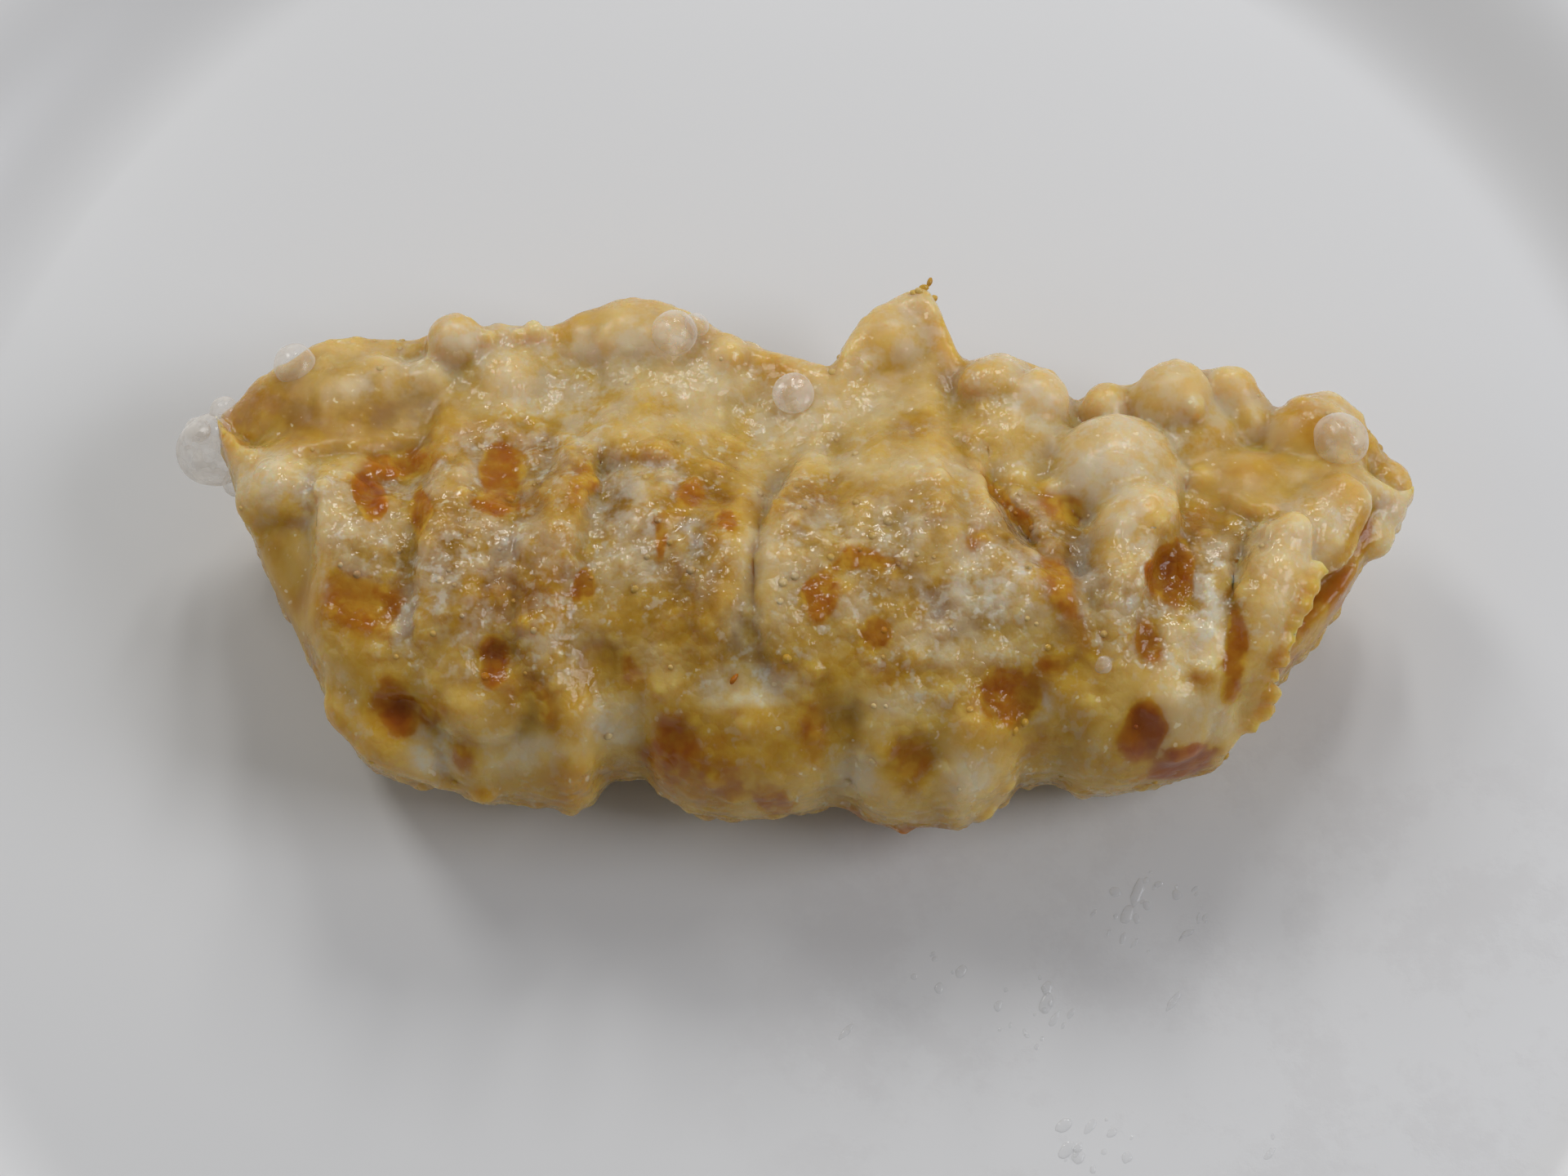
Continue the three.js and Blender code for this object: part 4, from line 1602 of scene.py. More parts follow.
@dataclass(frozen=True)
class Oil:
    """Clear oil, wet and nearly without colour."""

    name: str = "oil"
    colour: Colour = (0.88, 0.88, 0.875, 1.0)
    facing: float = 0.4
    turned: Pair = (0.1, 0.9)
    cover: Pair = (0.16, 0.45)
    rough: float = 0.06
    coat: float = 1.0
    coat_rough: float = 0.03
    gloss: float = 0.8

    def material(self) -> Material:
        """Build the oil's material.

        Returns:
            The material.
        """
        material, t, shader = new_material(self.name)
        t.feed(shader, {
            "Alpha": t.ranged(t.facing(self.facing), *self.turned, *self.cover),
            "Base Color": self.colour,
            "Roughness": self.rough,
            "Coat Weight": self.coat,
            "Coat Roughness": self.coat_rough,
            "Specular IOR Level": self.gloss,
        })
        return material


# ---- The dumpling


@dataclass(frozen=True)
class Toning:
    """How browned, pale and wet the dough is away from its single spots, with painted shade in its hollows
    and painted light on its ridges. Widths are in mm.
    """

    front_from: float = -1.5
    front_width: float = 2.5
    warps: tuple[tuple[Wave, Wave], ...] = (
        (Wave(9.0, 3.4, 2), Wave(9.0, 3.4, 2, 9.0)),
        (Wave(3.5, 1.1, 1, 3.0), Wave(3.5, 1.1, 1, 6.0)),
    )
    ring_size: float = 0.7
    halo_from: float = 0.8
    halo_width: float = 1.2
    unseen_tone: float = 0.30
    unseen_browning: float = 0.5
    unseen_drift: Wave = Wave(0.9, 9.0, 3, 50.0)
    unseen_start: float = 0.1
    unseen_deep: float = 0.35
    frill_wander: Wave = Wave(12.0, 4.0, 2)
    frill_pixels: Pair = (30.0, 80.0)
    belly_edge: float = 3.0
    lower_width: float = 7.0
    thick_width: float = 11.0
    marble_width: float = 8.0
    rim_width: float = 1.2
    edge_width: float = 9.0
    milk: Wave = Wave(0.6, 5.0, 2, 40.0)
    milk_start: float = 0.55
    frill_pale: float = 0.55
    frill_sleek: float = 0.55
    frill_deep: float = 0.32
    lower_sleek: float = 0.5
    marbling: Wave = Wave(1.1, 4.2, 3, 60.0)
    marble_start: float = 0.5
    marble_pale: float = 0.45
    plain_tone: float = 0.30
    tone_drift: Wave = Wave(0.08, 7.0, 2, 70.0)
    thick_tone: float = 0.08
    marble_tone: float = 0.04
    rim_tone: float = 0.10
    halo_tone: float = 0.12
    pale_tone: float = 0.24
    thick_deep: float = 0.85
    deep_drift: Wave = Wave(0.35, 4.5, 2, 90.0)
    sleek_dries: float = 0.7
    pale_dries: float = 0.12
    inner_bubbly: float = 0.4
    hollow_depth: float = 1.6
    hollow_shade_and_soak: float = 0.4
    hollow_shade_and_browning: float = 0.12


@dataclass
class Dumpling:
    """The dumpling's skin with its relief, its colours and its clear bubbles."""

    form: DumplingForm
    toning: Toning = Toning()
    lumps: Wave = Wave(0.22, 5.5, 1)
    knobs: Wave = Wave(0.16, 2.6, 2, 13.0)
    grit: Wave = Wave(0.07, 1.1, 1, 31.0)
    sleek_flatness: float = 0.85
    sleek_lumps: float = 0.3
    beads: int = 2600
    bead_radius: Pair = (0.45, 1.15)
    bead_height: Pair = (0.16, 0.40)
    sunk: float = 0.1
    unevenness: Wave = Wave(0.07, 1.1, 2)
    bubble_shift: float = 5.0
    bubble_rings: int = 24
    bubble_segments: int = 36
    seed: int = 11
    shading_rounds: int = 40

    def build(self, dough: Material) -> Object:
        """Make the dumpling's skin and dress it.

        Args:
            dough: The fried dough's material.

        Returns:
            The dumpling's object.
        """
        points, faces = self.form.skin()
        normals = point_normals(points, faces)
        marks = self.marks(points)
        points = self.roughen(points, normals, marks["sleek"])
        points[:, 2] = np.maximum(points[:, 2], self.form.rest - self.sunk)
        # Hollows get darker and browner and ridges lighter: painted shade in the hollows and painted light
        # on the ridges, along with oil and browning that gather in hollows.
        depth = hollowness(points, faces, normals, self.shading_rounds)
        depth -= np.median(depth)
        hollow = smooth(0.5 + depth / self.toning.hollow_depth) - 0.5
        marks["deep"] = np.clip(marks["deep"] + self.toning.hollow_shade_and_soak * hollow, 0.0, 1.0)
        marks["tone"] = np.clip(marks["tone"] + self.toning.hollow_shade_and_browning * hollow, 0.0, 1.0)
        piece = make_mesh("dumpling_skin", points, faces)
        for name, values in marks.items():
            layer = piece.data.attributes.new(name, "FLOAT", "POINT")
            layer.data.foreach_set("value", values.astype(np.float32))
        piece.data.materials.append(dough)
        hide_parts("dumpling")
        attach(piece, ROOT)
        log.info("dumpling_skin: %d faces", len(faces))
        return piece

    def roughen(self, points: Array, normals: Array, sleek: Array) -> Array:
        """Raise lumps, blistery beads and grit out of the skin.

        Args:
            points: The skin's points in mm.
            normals: Their outward directions.
            sleek: How smooth the skin is at each point, 0 to 1.

        Returns:
            The moved points.
        """
        grain = Grain(self.seed)
        rugged = 1.0 - self.sleek_flatness * sleek
        rise = self.lumps.over(grain, points) * (self.sleek_lumps + (1.0 - self.sleek_lumps) * rugged)
        rise += self.knobs.over(grain, points) * rugged
        rise += self.grit.over(grain, points) * rugged
        tree = KDTree(len(points))
        for number, point in enumerate(points):
            tree.insert(point, number)
        tree.balance()
        rng = np.random.default_rng(self.seed)
        chosen = rng.choice(len(points), self.beads, replace=False)
        least, most = self.bead_radius
        radii = least * (most / least) ** (rng.random(self.beads) ** 2)
        heights = rng.uniform(*self.bead_height, self.beads) * radii
        for middle, radius, height in zip(chosen, radii, heights):
            for _, number, distance in tree.find_range(points[middle], radius):
                rise[number] += height * rugged[middle] * (1.0 - (distance / radius) ** 2)
        return points + normals * rise[:, None]

    def spot_covers(self, places: Array) -> tuple[dict[str, Array], Array, list]:
        """Return what the spots do at each place of the view.

        Args:
            places: Pixels, one row of two each.

        Returns:
            An array for each tint with the spots of that tint in it, the halo round browned spots, and each
            browned spot's cover and tone.
        """
        values = {tint.value: np.zeros(len(places)) for tint in Tint}
        halo = np.zeros(len(places))
        browned = []
        for spot in SPOTS:
            away = ellipse_distance(places, spot.at, spot.size, spot.turn)
            cover = 1.0 - smooth((away - 1.0 + spot.edge) / (2 * spot.edge))
            if spot.tint is not Tint.BROWN:
                values[spot.tint.value] = np.maximum(values[spot.tint.value], cover * spot.strength)
                continue
            cover *= 1.0 - spot.ring * (1.0 - smooth(away / self.toning.ring_size))
            browned.append((cover, spot.strength))
            near = 1.0 - smooth((away - self.toning.halo_from) / self.toning.halo_width)
            halo = np.maximum(halo, near * spot.strength)
        return values, halo, browned

    def marks(self, points: Array) -> dict[str, Array]:
        """Return how browned, pale, shaded and sleek each point of the skin is.

        Args:
            points: The skin's points in mm.

        Returns:
            One array of values from 0 to 1 for each name of a tint, and one for how bubbly the skin is.
        """
        grain, form, looks = Grain(self.seed + 1), self.form, self.toning
        plan = points[:, :2]
        middle = form.rest + (form.height_at(plan, form.front) + form.height_at(plan, form.back)) / 2
        front = smooth((points[:, 2] - middle - looks.front_from) / looks.front_width)
        warps = [np.column_stack([wave.over(grain, points) for wave in pair]) for pair in looks.warps]
        places = VIEW.project(points) + sum(warps)
        values, halo, browned = self.spot_covers(places)

        from_seam = np.interp(points[:, 0], form.xs, form.seam) - points[:, 1]
        from_belly = points[:, 1] - np.interp(points[:, 0], form.xs, form.belly)
        past_edge = from_belly - looks.belly_edge
        line = np.array(FRILL_EDGE, dtype=float)
        below = places[:, 1] - np.interp(places[:, 0], line[:, 0], line[:, 1])
        below += looks.frill_wander.over(grain, points)
        frill = 1.0 - smooth((below + looks.frill_pixels[0]) / looks.frill_pixels[1])
        lower = 1.0 - smooth(past_edge / looks.lower_width)
        thick = (1.0 - frill) * smooth(past_edge / looks.thick_width)
        rim = smooth(1.0 - from_seam / looks.rim_width)
        milky = smooth(looks.milk_start + looks.milk.over(grain, points))
        marble = smooth(looks.marble_start + looks.marbling.over(grain, points)) * (1.0 - frill)
        marble *= smooth(past_edge / looks.marble_width)

        milky_frill = looks.frill_pale * frill * milky * (1.0 - values["deep"])
        pale = np.maximum(np.maximum(values["pale"], milky_frill), looks.marble_pale * marble)
        sleek = np.maximum(looks.frill_sleek * frill, looks.lower_sleek * lower)
        sleek = np.maximum(values["sleek"], sleek)
        wet = thick * (looks.thick_deep + looks.deep_drift.over(grain, points))
        wet = wet * (1.0 - looks.sleek_dries * sleek) - looks.pale_dries * pale
        deep = np.maximum(np.maximum(values["deep"], looks.frill_deep * frill), wet)

        base = looks.plain_tone + looks.tone_drift.over(grain, points) + looks.thick_tone * thick
        base += looks.rim_tone * rim - looks.marble_tone * marble
        base += looks.halo_tone * halo - looks.pale_tone * pale
        tone = base
        for cover, strength in browned:
            tone = np.maximum(tone, mix(base, strength, cover))
        unseen = smooth(looks.unseen_drift.over(grain, points) - looks.unseen_start)
        unseen = looks.unseen_tone + looks.unseen_browning * unseen
        sleek = sleek * front
        edge = smooth(1.0 - from_seam / looks.edge_width)
        found = {
            "tone": mix(unseen, tone, front),
            "pale": pale * front,
            "shade": values["shade"] * front,
            "sleek": sleek,
            "deep": mix(looks.unseen_deep, deep, front),
            "bubbly": front * (1.0 - sleek) ** 2 * mix(looks.inner_bubbly, 1.0, edge),
        }
        return {name: np.clip(value, 0.0, 1.0) for name, value in found.items()}

    def build_clear_blisters(self, finish: BlisterFilm) -> Object:
        """Make the clear bubbles of the frill as one piece.

        Args:
            finish: The bubbles' film.

        Returns:
            The object that holds them all.
        """
        grain = Grain(self.seed + 2)
        ball_points, ball_faces = ball(self.bubble_rings, self.bubble_segments)
        shapes = []
        for number, blister in enumerate(CLEAR_BLISTERS):
            plan = VIEW.on_level(np.array([blister.at], dtype=float), blister.level)[0]
            radius = blister.radius / VIEW.pixels_per_mm
            uneven = 1.0 + self.unevenness.over(grain, ball_points + self.bubble_shift * number)
            shape = ball_points * uneven[:, None] * radius * (1.0, 1.0, blister.squash)
            shapes.append(shape + (*plan, blister.level))
        piece = make_mesh("clear_blisters", np.concatenate(shapes), repeated(ball_faces, shapes))
        piece.data.materials.append(finish.material())
        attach(piece, ROOT)
        log.info("clear_blisters: %d bubbles", len(CLEAR_BLISTERS))
        return piece


# ---- Turned shapes


def turned(profile: list[Pair], bottom: float, top: float, segments: int) -> tuple[Array, list[list[int]]]:
    """Turn a half section round the upright axis into a closed shape.

    Args:
        profile: Each ring's radius and height, from the middle below round the outside to the middle above.
        bottom: Height of the middle point below.
        top: Height of the middle point above.
        segments: Steps around.

    Returns:
        Its points, and its faces, facing outwards.
    """
    turns = np.arange(segments) * 2 * math.pi / segments
    points = [(0.0, 0.0, bottom)]
    for radius, height in profile:
        points += [(radius * math.cos(a), radius * math.sin(a), height) for a in turns]
    points.append((0.0, 0.0, top))
    steps = [(i, (i + 1) % segments) for i in range(segments)]
    faces = [[0, 1 + after, 1 + i] for i, after in steps]
    for ring in range(len(profile) - 1):
        inner = 1 + ring * segments
        outer = inner + segments
        faces += [[inner + i, inner + after, outer + after, outer + i] for i, after in steps]
    base = 1 + (len(profile) - 1) * segments
    faces += [[len(points) - 1, base + i, base + after] for i, after in steps]
    return np.array(points), faces


def ball(rings: int, segments: int) -> tuple[Array, list[list[int]]]:
    """Return a closed ball of radius 1.

    Args:
        rings: Steps from pole to pole.
        segments: Steps around.

    Returns:
        Its points, and its faces, facing outwards.
    """
    tilts = [math.pi * ring / rings for ring in range(1, rings)]
    return turned([(math.sin(tilt), -math.cos(tilt)) for tilt in tilts], -1.0, 1.0, segments)


def repeated(faces: list[list[int]], shapes: list[Array]) -> list[list[int]]:
    """Return the faces of several shapes of one build, whose points follow each other."""
    starts = np.cumsum([0] + [len(shape) for shape in shapes[:-1]])
    return [[start + corner for corner in face] for start in starts for face in faces]


# ---- What is scattered


def apply_tree(name: str, source: Object, tree: Tree, values: dict[str, object]) -> Object:
    """Run a geometry node tree on an object's mesh and keep the outcome as a plain object.

    Args:
        name: The new object's name.
        source: The object whose mesh goes in.
        tree: The tree.
        values: A value for each of the tree's named inputs.

    Returns:
        The new object, linked to the scene.
    """
    carrier = bpy.data.objects.new(name + "_carrier", source.data)
    bpy.context.scene.collection.objects.link(carrier)
    modifier = carrier.modifiers.new(name, "NODES")
    modifier.node_group = tree.tree
    items = tree.tree.interface.items_tree
    sockets = {item.name: item.identifier for item in items if item.in_out == "INPUT"}
    for label, value in values.items():
        modifier[sockets[label]] = value
    evaluated = carrier.evaluated_get(bpy.context.evaluated_depsgraph_get())
    mesh = bpy.data.meshes.new_from_object(evaluated)
    mesh.name = name
    carrier.modifiers.remove(modifier)
    bpy.data.objects.remove(carrier)
    piece = bpy.data.objects.new(name, mesh)
    bpy.context.scene.collection.objects.link(piece)
    return piece


@dataclass
class FriedBeads:
    """Small bubbles that stand on the rough skin and crowd along its edge."""

    density: float = 0.14
    least: float = 0.20
    most: float = 0.45
    smallness: float = 2.2
    sunk: float = 0.5
    fineness: int = 2
    seed: int = 5

    def tree(self) -> Tree:
        """Build the tree that sets the bubbles out where the skin is marked bubbly.

        Returns:
            The tree.
        """
        kinds = {"Mesh": "Geometry", "Density": "Float", "Least radius": "Float", "Most radius": "Float",
                 "Sunk share": "Float", "Seed": "Int", "Finish": "Material"}
        t = new_group("scatter_beads", "GeometryNodeTree", kinds, {"Mesh": "Geometry"})
        source = t.add("NodeGroupInput").outputs
        mark = t.add("GeometryNodeInputNamedAttribute", {"Name": "bubbly"}, {"data_type": "FLOAT"})
        density = t.times(mark.outputs[0], source["Density"])
        scatter = {"Mesh": source["Mesh"], "Density": density, "Seed": source["Seed"]}
        points = t.add("GeometryNodeDistributePointsOnFaces", scatter)
        share = t.math("POWER", t.chance(source["Seed"]), self.smallness)
        spread = t.math("SUBTRACT", source["Most radius"], source["Least radius"])
        radius = t.plus(source["Least radius"], t.times(share, spread))
        depth = t.times(radius, source["Sunk share"], -1.0)
        sink = t.add("ShaderNodeVectorMath", {0: points.outputs["Normal"], "Scale": depth},
                     {"operation": "SCALE"}).outputs[0]
        lowered = {"Geometry": points.outputs["Points"], "Offset": sink}
        moved = t.add("GeometryNodeSetPosition", lowered).outputs[0]
        bead = t.round_ball(self.fineness)
        t.finished(t.instances(moved, bead, {"Scale": radius}), source["Finish"])
        return t

    def build(self, skin: Object, dough: Material) -> Object:
        """Scatter the bubbles over the skin.

        Args:
            skin: The dumpling's skin, with its marks.
            dough: The fried dough's material.

        Returns:
            The object that holds all the bubbles.
        """
        values = {
            "Density": self.density / MM**2,
            "Least radius": self.least * MM,
            "Most radius": self.most * MM,
            "Sunk share": self.sunk,
            "Seed": self.seed,
            "Finish": dough,
        }
        piece = apply_tree("fried_beads", skin, self.tree(), values)
        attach(piece, ROOT)
        log.info("fried_beads: %d faces", len(piece.data.polygons))
        return piece


@dataclass(frozen=True)
class WetPatch:
    """A patch of the plate where oil drops lie."""

    at: Pair
    size: Pair
    turn: float = 0.0


@dataclass
class OilDrops:
    """Flat drops and streaks of oil on the plate, set out by a node tree."""

    level: float
    density: float = 0.5
    width: Pair = (0.12, 0.50)
    long: Pair = (1.1, 4.0)
    flatness: float = 0.32
    lean: Pair = (35.0, 85.0)
    narrowness: float = 3.0
    shortness: float = 2.5
    wobble: float = 0.5
    wobble_length: float = 0.9
    fineness: int = 3
    patch_corners: int = 24
    seed: int = 3
    patches: tuple[WetPatch, ...] = (
        WetPatch((1150, 1190), (40, 26)),
        WetPatch((1270, 1240), (60, 44), 20),
        WetPatch((1410, 1110), (76, 56), 10),
        WetPatch((1436, 1212), (12, 26), 30),
        WetPatch((1345, 1395), (50, 46)),
        WetPatch((1588, 1238), (10, 12)),
        WetPatch((1566, 1405), (12, 22)),
        WetPatch((1090, 1186), (8, 30), 25),
        WetPatch((494, 1192), (12, 8)),
        WetPatch((1030, 1275), (10, 16)),
    )

    def ground(self) -> Object:
        """Make the wet patches as flat discs at the plate's level.

        Returns:
            The object that holds them all.
        """
        turns = np.linspace(0.0, 2 * math.pi, self.patch_corners, endpoint=False)
        points, faces = [], []
        for number, patch in enumerate(self.patches):
            middle = VIEW.on_level(np.array([patch.at], dtype=float), self.level)[0]
            across, along = np.array(patch.size) / VIEW.pixels_per_mm
            cos, sin = cos_sin(patch.turn)
            for a in turns:
                x, y = across * math.cos(a), along * math.sin(a)
                points.append((middle[0] + x * cos - y * sin, middle[1] + x * sin + y * cos, self.level))
            faces.append([number * len(turns) + i for i in range(len(turns))])
        return make_mesh("wet_patches", np.array(points), faces)

    def tree(self) -> Tree:
        """Build the tree that lays drops of uneven outline on the patches.

        Returns:
            The tree.
        """
        lengths = ("Density", "Least width", "Most width", "Least length", "Most length", "Flatness",
                   "Least lean", "Most lean")
        kinds = {"Mesh": "Geometry", **dict.fromkeys(lengths, "Float"), "Seed": "Int", "Finish": "Material"}
        t = new_group("lay_drops", "GeometryNodeTree", kinds, {"Mesh": "Geometry"})
        source = t.add("NodeGroupInput").outputs
        scatter = {name: source[name] for name in ("Mesh", "Density", "Seed")}
        points = t.add("GeometryNodeDistributePointsOnFaces", scatter).outputs["Points"]

        def chance(shift: float) -> Socket:
            """Return a number between 0 and 1 that differs from drop to drop."""
            return t.chance(t.plus(source["Seed"], shift))

        def between(label: str, share: Socket) -> Socket:
            """Return the value at a share of the way from a least input to the most."""
            least, most = source["Least " + label], source["Most " + label]
            return t.plus(least, t.times(share, t.math("SUBTRACT", most, least)))

        width = between("width", t.math("POWER", chance(1.0), self.narrowness))
        length = t.times(width, between("length", t.math("POWER", chance(2.0), self.shortness)))
        height = t.times(width, source["Flatness"])
        size = t.add("ShaderNodeCombineXYZ", {"X": length, "Y": width, "Z": height}).outputs[0]
        turn = t.add("ShaderNodeCombineXYZ", {"Z": between("lean", chance(3.0))}).outputs[0]
        drop = t.round_ball(self.fineness)
        drops = t.instances(points, drop, {"Rotation": turn, "Scale": size})
        wavy = {"Vector": t.add("GeometryNodeInputPosition").outputs[0],
                "Scale": 1.0 / (self.wobble_length * MM), "Detail": 1.0}
        noise = t.add("ShaderNodeTexNoise", wavy).outputs["Color"]
        sway, half = self.wobble * MM, self.wobble * MM / 2
        shift = {0: noise, 1: (sway, sway, 0.0), 2: (-half, -half, 0.0)}
        offset = t.add("ShaderNodeVectorMath", shift, {"operation": "MULTIPLY_ADD"}).outputs[0]
        uneven = t.add("GeometryNodeSetPosition", {"Geometry": drops, "Offset": offset}).outputs[0]
        t.finished(uneven, source["Finish"])
        return t

    def build(self, finish: Oil) -> Object:
        """Lay the drops on the plate.

        Args:
            finish: The oil's finish.

        Returns:
            The object that holds all the drops.
        """
        ground = self.ground()
        values = {
            "Density": self.density / MM**2,
            "Least width": self.width[0] * MM,
            "Most width": self.width[1] * MM,
            "Least length": self.long[0],
            "Most length": self.long[1],
            "Flatness": self.flatness,
            "Least lean": math.radians(self.lean[0]),
            "Most lean": math.radians(self.lean[1]),
            "Seed": self.seed,
            "Finish": finish.material(),
        }
        piece = apply_tree("oil_drops", ground, self.tree(), values)
        bpy.data.objects.remove(ground)
        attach(piece, ROOT)
        log.info("oil_drops: %d faces", len(piece.data.polygons))
        return piece


@dataclass(frozen=True)
class Crumb:
    """A small bit of crust: place in pixels, half sizes and lift in mm, and how browned it is."""

    at: Pair
    size: Triple
    tone: float
    lift: float = 0.1
    turn: float = 0.0


@dataclass
class Crumbs:
    """Loose bits on the skin: dark chips and the ragged tip."""

    form: DumplingForm
    bits: tuple[Crumb, ...] = (
        Crumb((899, 832), (0.42, 0.20, 0.16), 1.0, 0.15, 55),
        Crumb((1212, 578), (0.22, 0.45, 0.18), 1.0, 0.15, 10),
        Crumb((1131, 354), (0.42, 0.30, 0.30), 0.35, 0.2, 30),
        Crumb((1138, 347), (0.20, 0.40, 0.22), 0.45, 0.2, -20),
        Crumb((1125, 358), (0.30, 0.34, 0.28), 0.25, 0.2, 50),
        Crumb((1118, 360), (0.24, 0.30, 0.24), 0.30, 0.1, 10),
        Crumb((1144, 366), (0.30, 0.26, 0.26), 0.30, 0.1, 0),
    )
    unevenness: Wave = Wave(0.22, 0.9, 2)
    shift: float = 3.0
    rings: int = 10
    segments: int = 14
    seed: int = 21

    def build(self, dough: Material) -> Object:
        """Make the crumbs as one piece.

        Args:
            dough: The fried dough's material.

        Returns:
            The object that holds them all.
        """
        grain = Grain(self.seed)
        grit, grit_faces = ball(self.rings, self.segments)
        shapes, tones = [], []
        for number, bit in enumerate(self.bits):
            place = self.form.on_front(np.array([bit.at], dtype=float))[0] + (0.0, 0.0, bit.lift)
            cos, sin = cos_sin(bit.turn)
            uneven = 1.0 + self.unevenness.over(grain, grit + self.shift * number)
            spin = np.array([(cos, sin, 0.0), (-sin, cos, 0.0), (0.0, 0.0, 1.0)])
            shapes.append(grit * uneven[:, None] * bit.size @ spin + place)
            tones += [bit.tone] * len(grit)
        piece = make_mesh("crumbs", np.concatenate(shapes), repeated(grit_faces, shapes))
        piece.data.attributes.new("tone", "FLOAT", "POINT").data.foreach_set("value", tones)
        piece.data.materials.append(dough)
        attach(piece, ROOT)
        log.info("crumbs: %d bits", len(self.bits))
        return piece


# ---- The plate


@dataclass
class Plate:
    """The round plate, turned round its middle."""

    radius: float
    height: float
    well_top: float
    well_radius: float = 69.0
    floor: float = 4.2
    lip: float = 3.0
    foot_inner: float = 53.0
    foot_outer: float = 57.0
    foot_height: float = 2.4
    foot_round: float = 0.4
    foot_slant: float = 0.1
    foot_corner: float = 0.5
    foot_joint: float = 0.6
    middle_radius: float = 6.0
    base_steps: int = 6
    wall_start: float = 2.0
    wall_steps: int = 18
    lip_steps: int = 11
    slope_end: float = 2.0
    slope_steps: int = 30
    well_edge: float = 8.0
    well_steps: int = 8
    shoulder_rise: float = 0.6
    shoulder_width: float = 0.5
    segments: int = 192

    def top_at(self, radius: float) -> float:
        """Work out the upper face's height.

        Args:
            radius: Distance from the plate's middle, in mm.

        Returns:
            The height in mm.
        """
        t = min(max((radius - self.well_radius) / (self.radius - self.well_radius), 0.0), 1.0)
        shoulder = self.shoulder_rise * float(smooth(np.array(t / self.shoulder_width)))
        rise = shoulder + (1.0 - self.shoulder_rise) * t * t
        return self.well_top + (self.height - self.well_top) * rise

    def profile(self) -> list[Pair]:
        """Work out the plate's half section.

        Returns:
            Each ring's radius and height, from the middle below to the middle above.
        """
        lip = self.lip / 2
        edge = self.radius - lip
        inner, outer, top, bend = self.foot_inner, self.foot_outer, self.foot_height, self.foot_round
        slant, corner, joint = self.foot_slant, self.foot_corner, self.foot_joint
        rows = [(r, top) for r in np.linspace(self.middle_radius, inner - joint, self.base_steps)]
        rows += [(inner, top - bend), (inner + slant, bend), (inner + corner, 0.0)]
        rows += [(outer - corner, 0.0), (outer - slant, bend), (outer, top - bend), (outer + joint, top)]
        for r in np.linspace(outer + self.wall_start, edge, self.wall_steps)[:-1]:
            wall = mix(self.floor, self.lip, (r - outer) / (self.radius - outer))
            rows.append((r, max(self.top_at(r) - wall, top)))
        middle = self.top_at(edge) - lip
        rows += [(edge + lip * math.cos(a), middle + lip * math.sin(a))
                 for a in np.linspace(-math.pi / 2, math.pi / 2, self.lip_steps)]
        slope = np.linspace(edge, self.well_radius - self.slope_end, self.slope_steps)
        rows += [(r, self.top_at(r)) for r in slope[1:]]
        well = np.linspace(self.well_radius - self.well_edge, self.middle_radius, self.well_steps)
        rows += [(r, self.well_top) for r in well]
        return rows

    def build(self, finish: Glaze) -> Object:
        """Make the plate in place of its plain solid.

        Args:
            finish: The plate's glaze.

        Returns:
            The plate's object.
        """
        points, faces = turned(self.profile(), self.foot_height, self.well_top, self.segments)
        piece = make_mesh("plate_glazed", points, faces)
        piece.data.materials.append(finish.material())
        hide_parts("plate")
        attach(piece, ROOT)
        log.info("plate_glazed: %d faces", len(faces))
        return piece


# ---- The studio


@dataclass(frozen=True)
class SoftLight:
    """A rectangular light that looks at the dumpling."""

    name: str
    place: Triple
    size: Pair
    power: float
    colour: Triple = (1.0, 1.0, 1.0)
    aim: Triple = (0.0, 0.0, 0.015)

    def build(self) -> None:
        """Make the light."""
        data = bpy.data.lights.new(self.name, "AREA")
        data.shape = "RECTANGLE"
        data.size = self.size[0]
        data.size_y = self.size[1]
        data.energy = self.power
        data.color = self.colour
        lamp = bpy.data.objects.new(self.name, data)
        lamp.location = self.place
        ray = Vector(self.aim) - lamp.location
        lamp.rotation_euler = ray.to_track_quat("-Z", "Y").to_euler()
        bpy.context.scene.collection.objects.link(lamp)


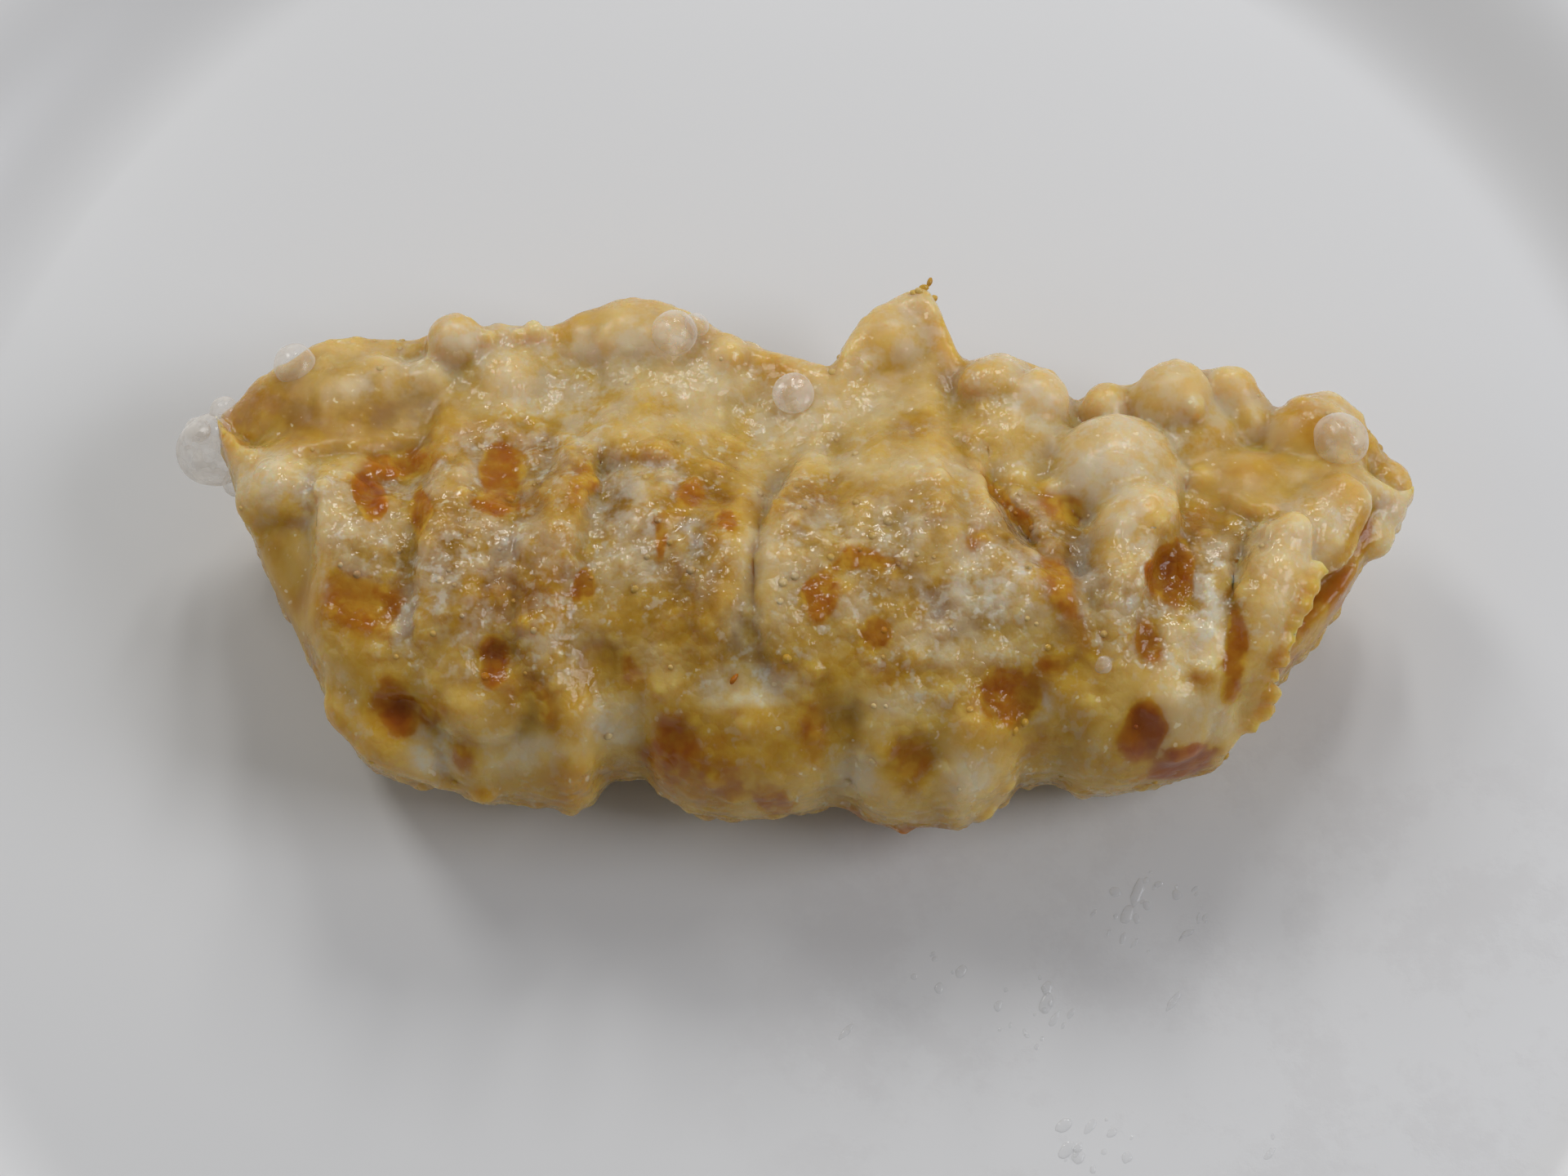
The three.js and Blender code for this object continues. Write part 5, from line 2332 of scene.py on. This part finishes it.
@dataclass
class Studio:
    """A pale floor, soft lights and an even sky."""

    floor_half: float = 1.2
    floor_colour: Colour = (0.72, 0.72, 0.71, 1.0)
    floor_rough: float = 0.7
    sky: Colour = (1.0, 1.0, 1.02, 1.0)
    sky_strength: float = 0.12
    lights: tuple[SoftLight, ...] = (
        SoftLight("back tube", (0.15, 0.46, 0.44), (0.06, 0.19), 0.62),
        SoftLight("second back tube", (0.00, 0.47, 0.44), (0.06, 0.19), 0.66),
        SoftLight("left tube", (-0.30, 0.36, 0.46), (0.14, 0.25), 0.90),
        SoftLight("left fill", (-0.36, -0.06, 0.24), (0.26, 0.26), 0.17),
        SoftLight("right light", (0.34, -0.03, 0.30), (0.20, 0.20), 0.72, (0.96, 0.98, 1.05)),
    )

    def build(self) -> None:
        """Make the floor, the lights and the sky."""
        half = self.floor_half / MM
        corners = np.array([(-half, -half, 0.0), (half, -half, 0.0), (half, half, 0.0), (-half, half, 0.0)])
        floor = make_mesh("studio_floor", corners, [[0, 1, 2, 3]])
        material, t, shader = new_material("studio_floor")
        t.feed(shader, {"Base Color": self.floor_colour, "Roughness": self.floor_rough})
        floor.data.materials.append(material)
        for light in self.lights:
            light.build()
        world = bpy.data.worlds.new("sky")
        world.use_nodes = True
        light = {"Color": self.sky, "Strength": self.sky_strength}
        Tree(world.node_tree).feed(world.node_tree.nodes["Background"], light)
        bpy.context.scene.world = world
        bpy.context.scene.view_settings.view_transform = "Standard"


# ---- Everything in order

RIM_HEIGHT = 17.0  # mm from the foot to the top of the plate's rim
BED = 0.3  # mm of room between the plate's well and the dumpling's solid


def main() -> None:
    """Build the plate, the dumpling and the studio."""
    VIEW.build()
    plate_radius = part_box("plate")[1][0] / MM
    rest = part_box("dumpling")[0][2] / MM
    well_top = rest - BED
    Plate(radius=plate_radius, height=RIM_HEIGHT, well_top=well_top).build(Glaze())
    dough = FriedDough()
    skin_group = dough.group()
    dough_material = dough.material(skin_group)
    bubble_material = replace(dough, name="fried_bubbles", scatter=0.0).material(skin_group)
    form = DumplingForm(rest=rest)
    dumpling = Dumpling(form)
    skin = dumpling.build(dough_material)
    dumpling.build_clear_blisters(BlisterFilm())
    FriedBeads().build(skin, bubble_material)
    Crumbs(form).build(bubble_material)
    OilDrops(level=well_top).build(Oil())
    Studio().build()


if __name__ == "__main__":
    main()
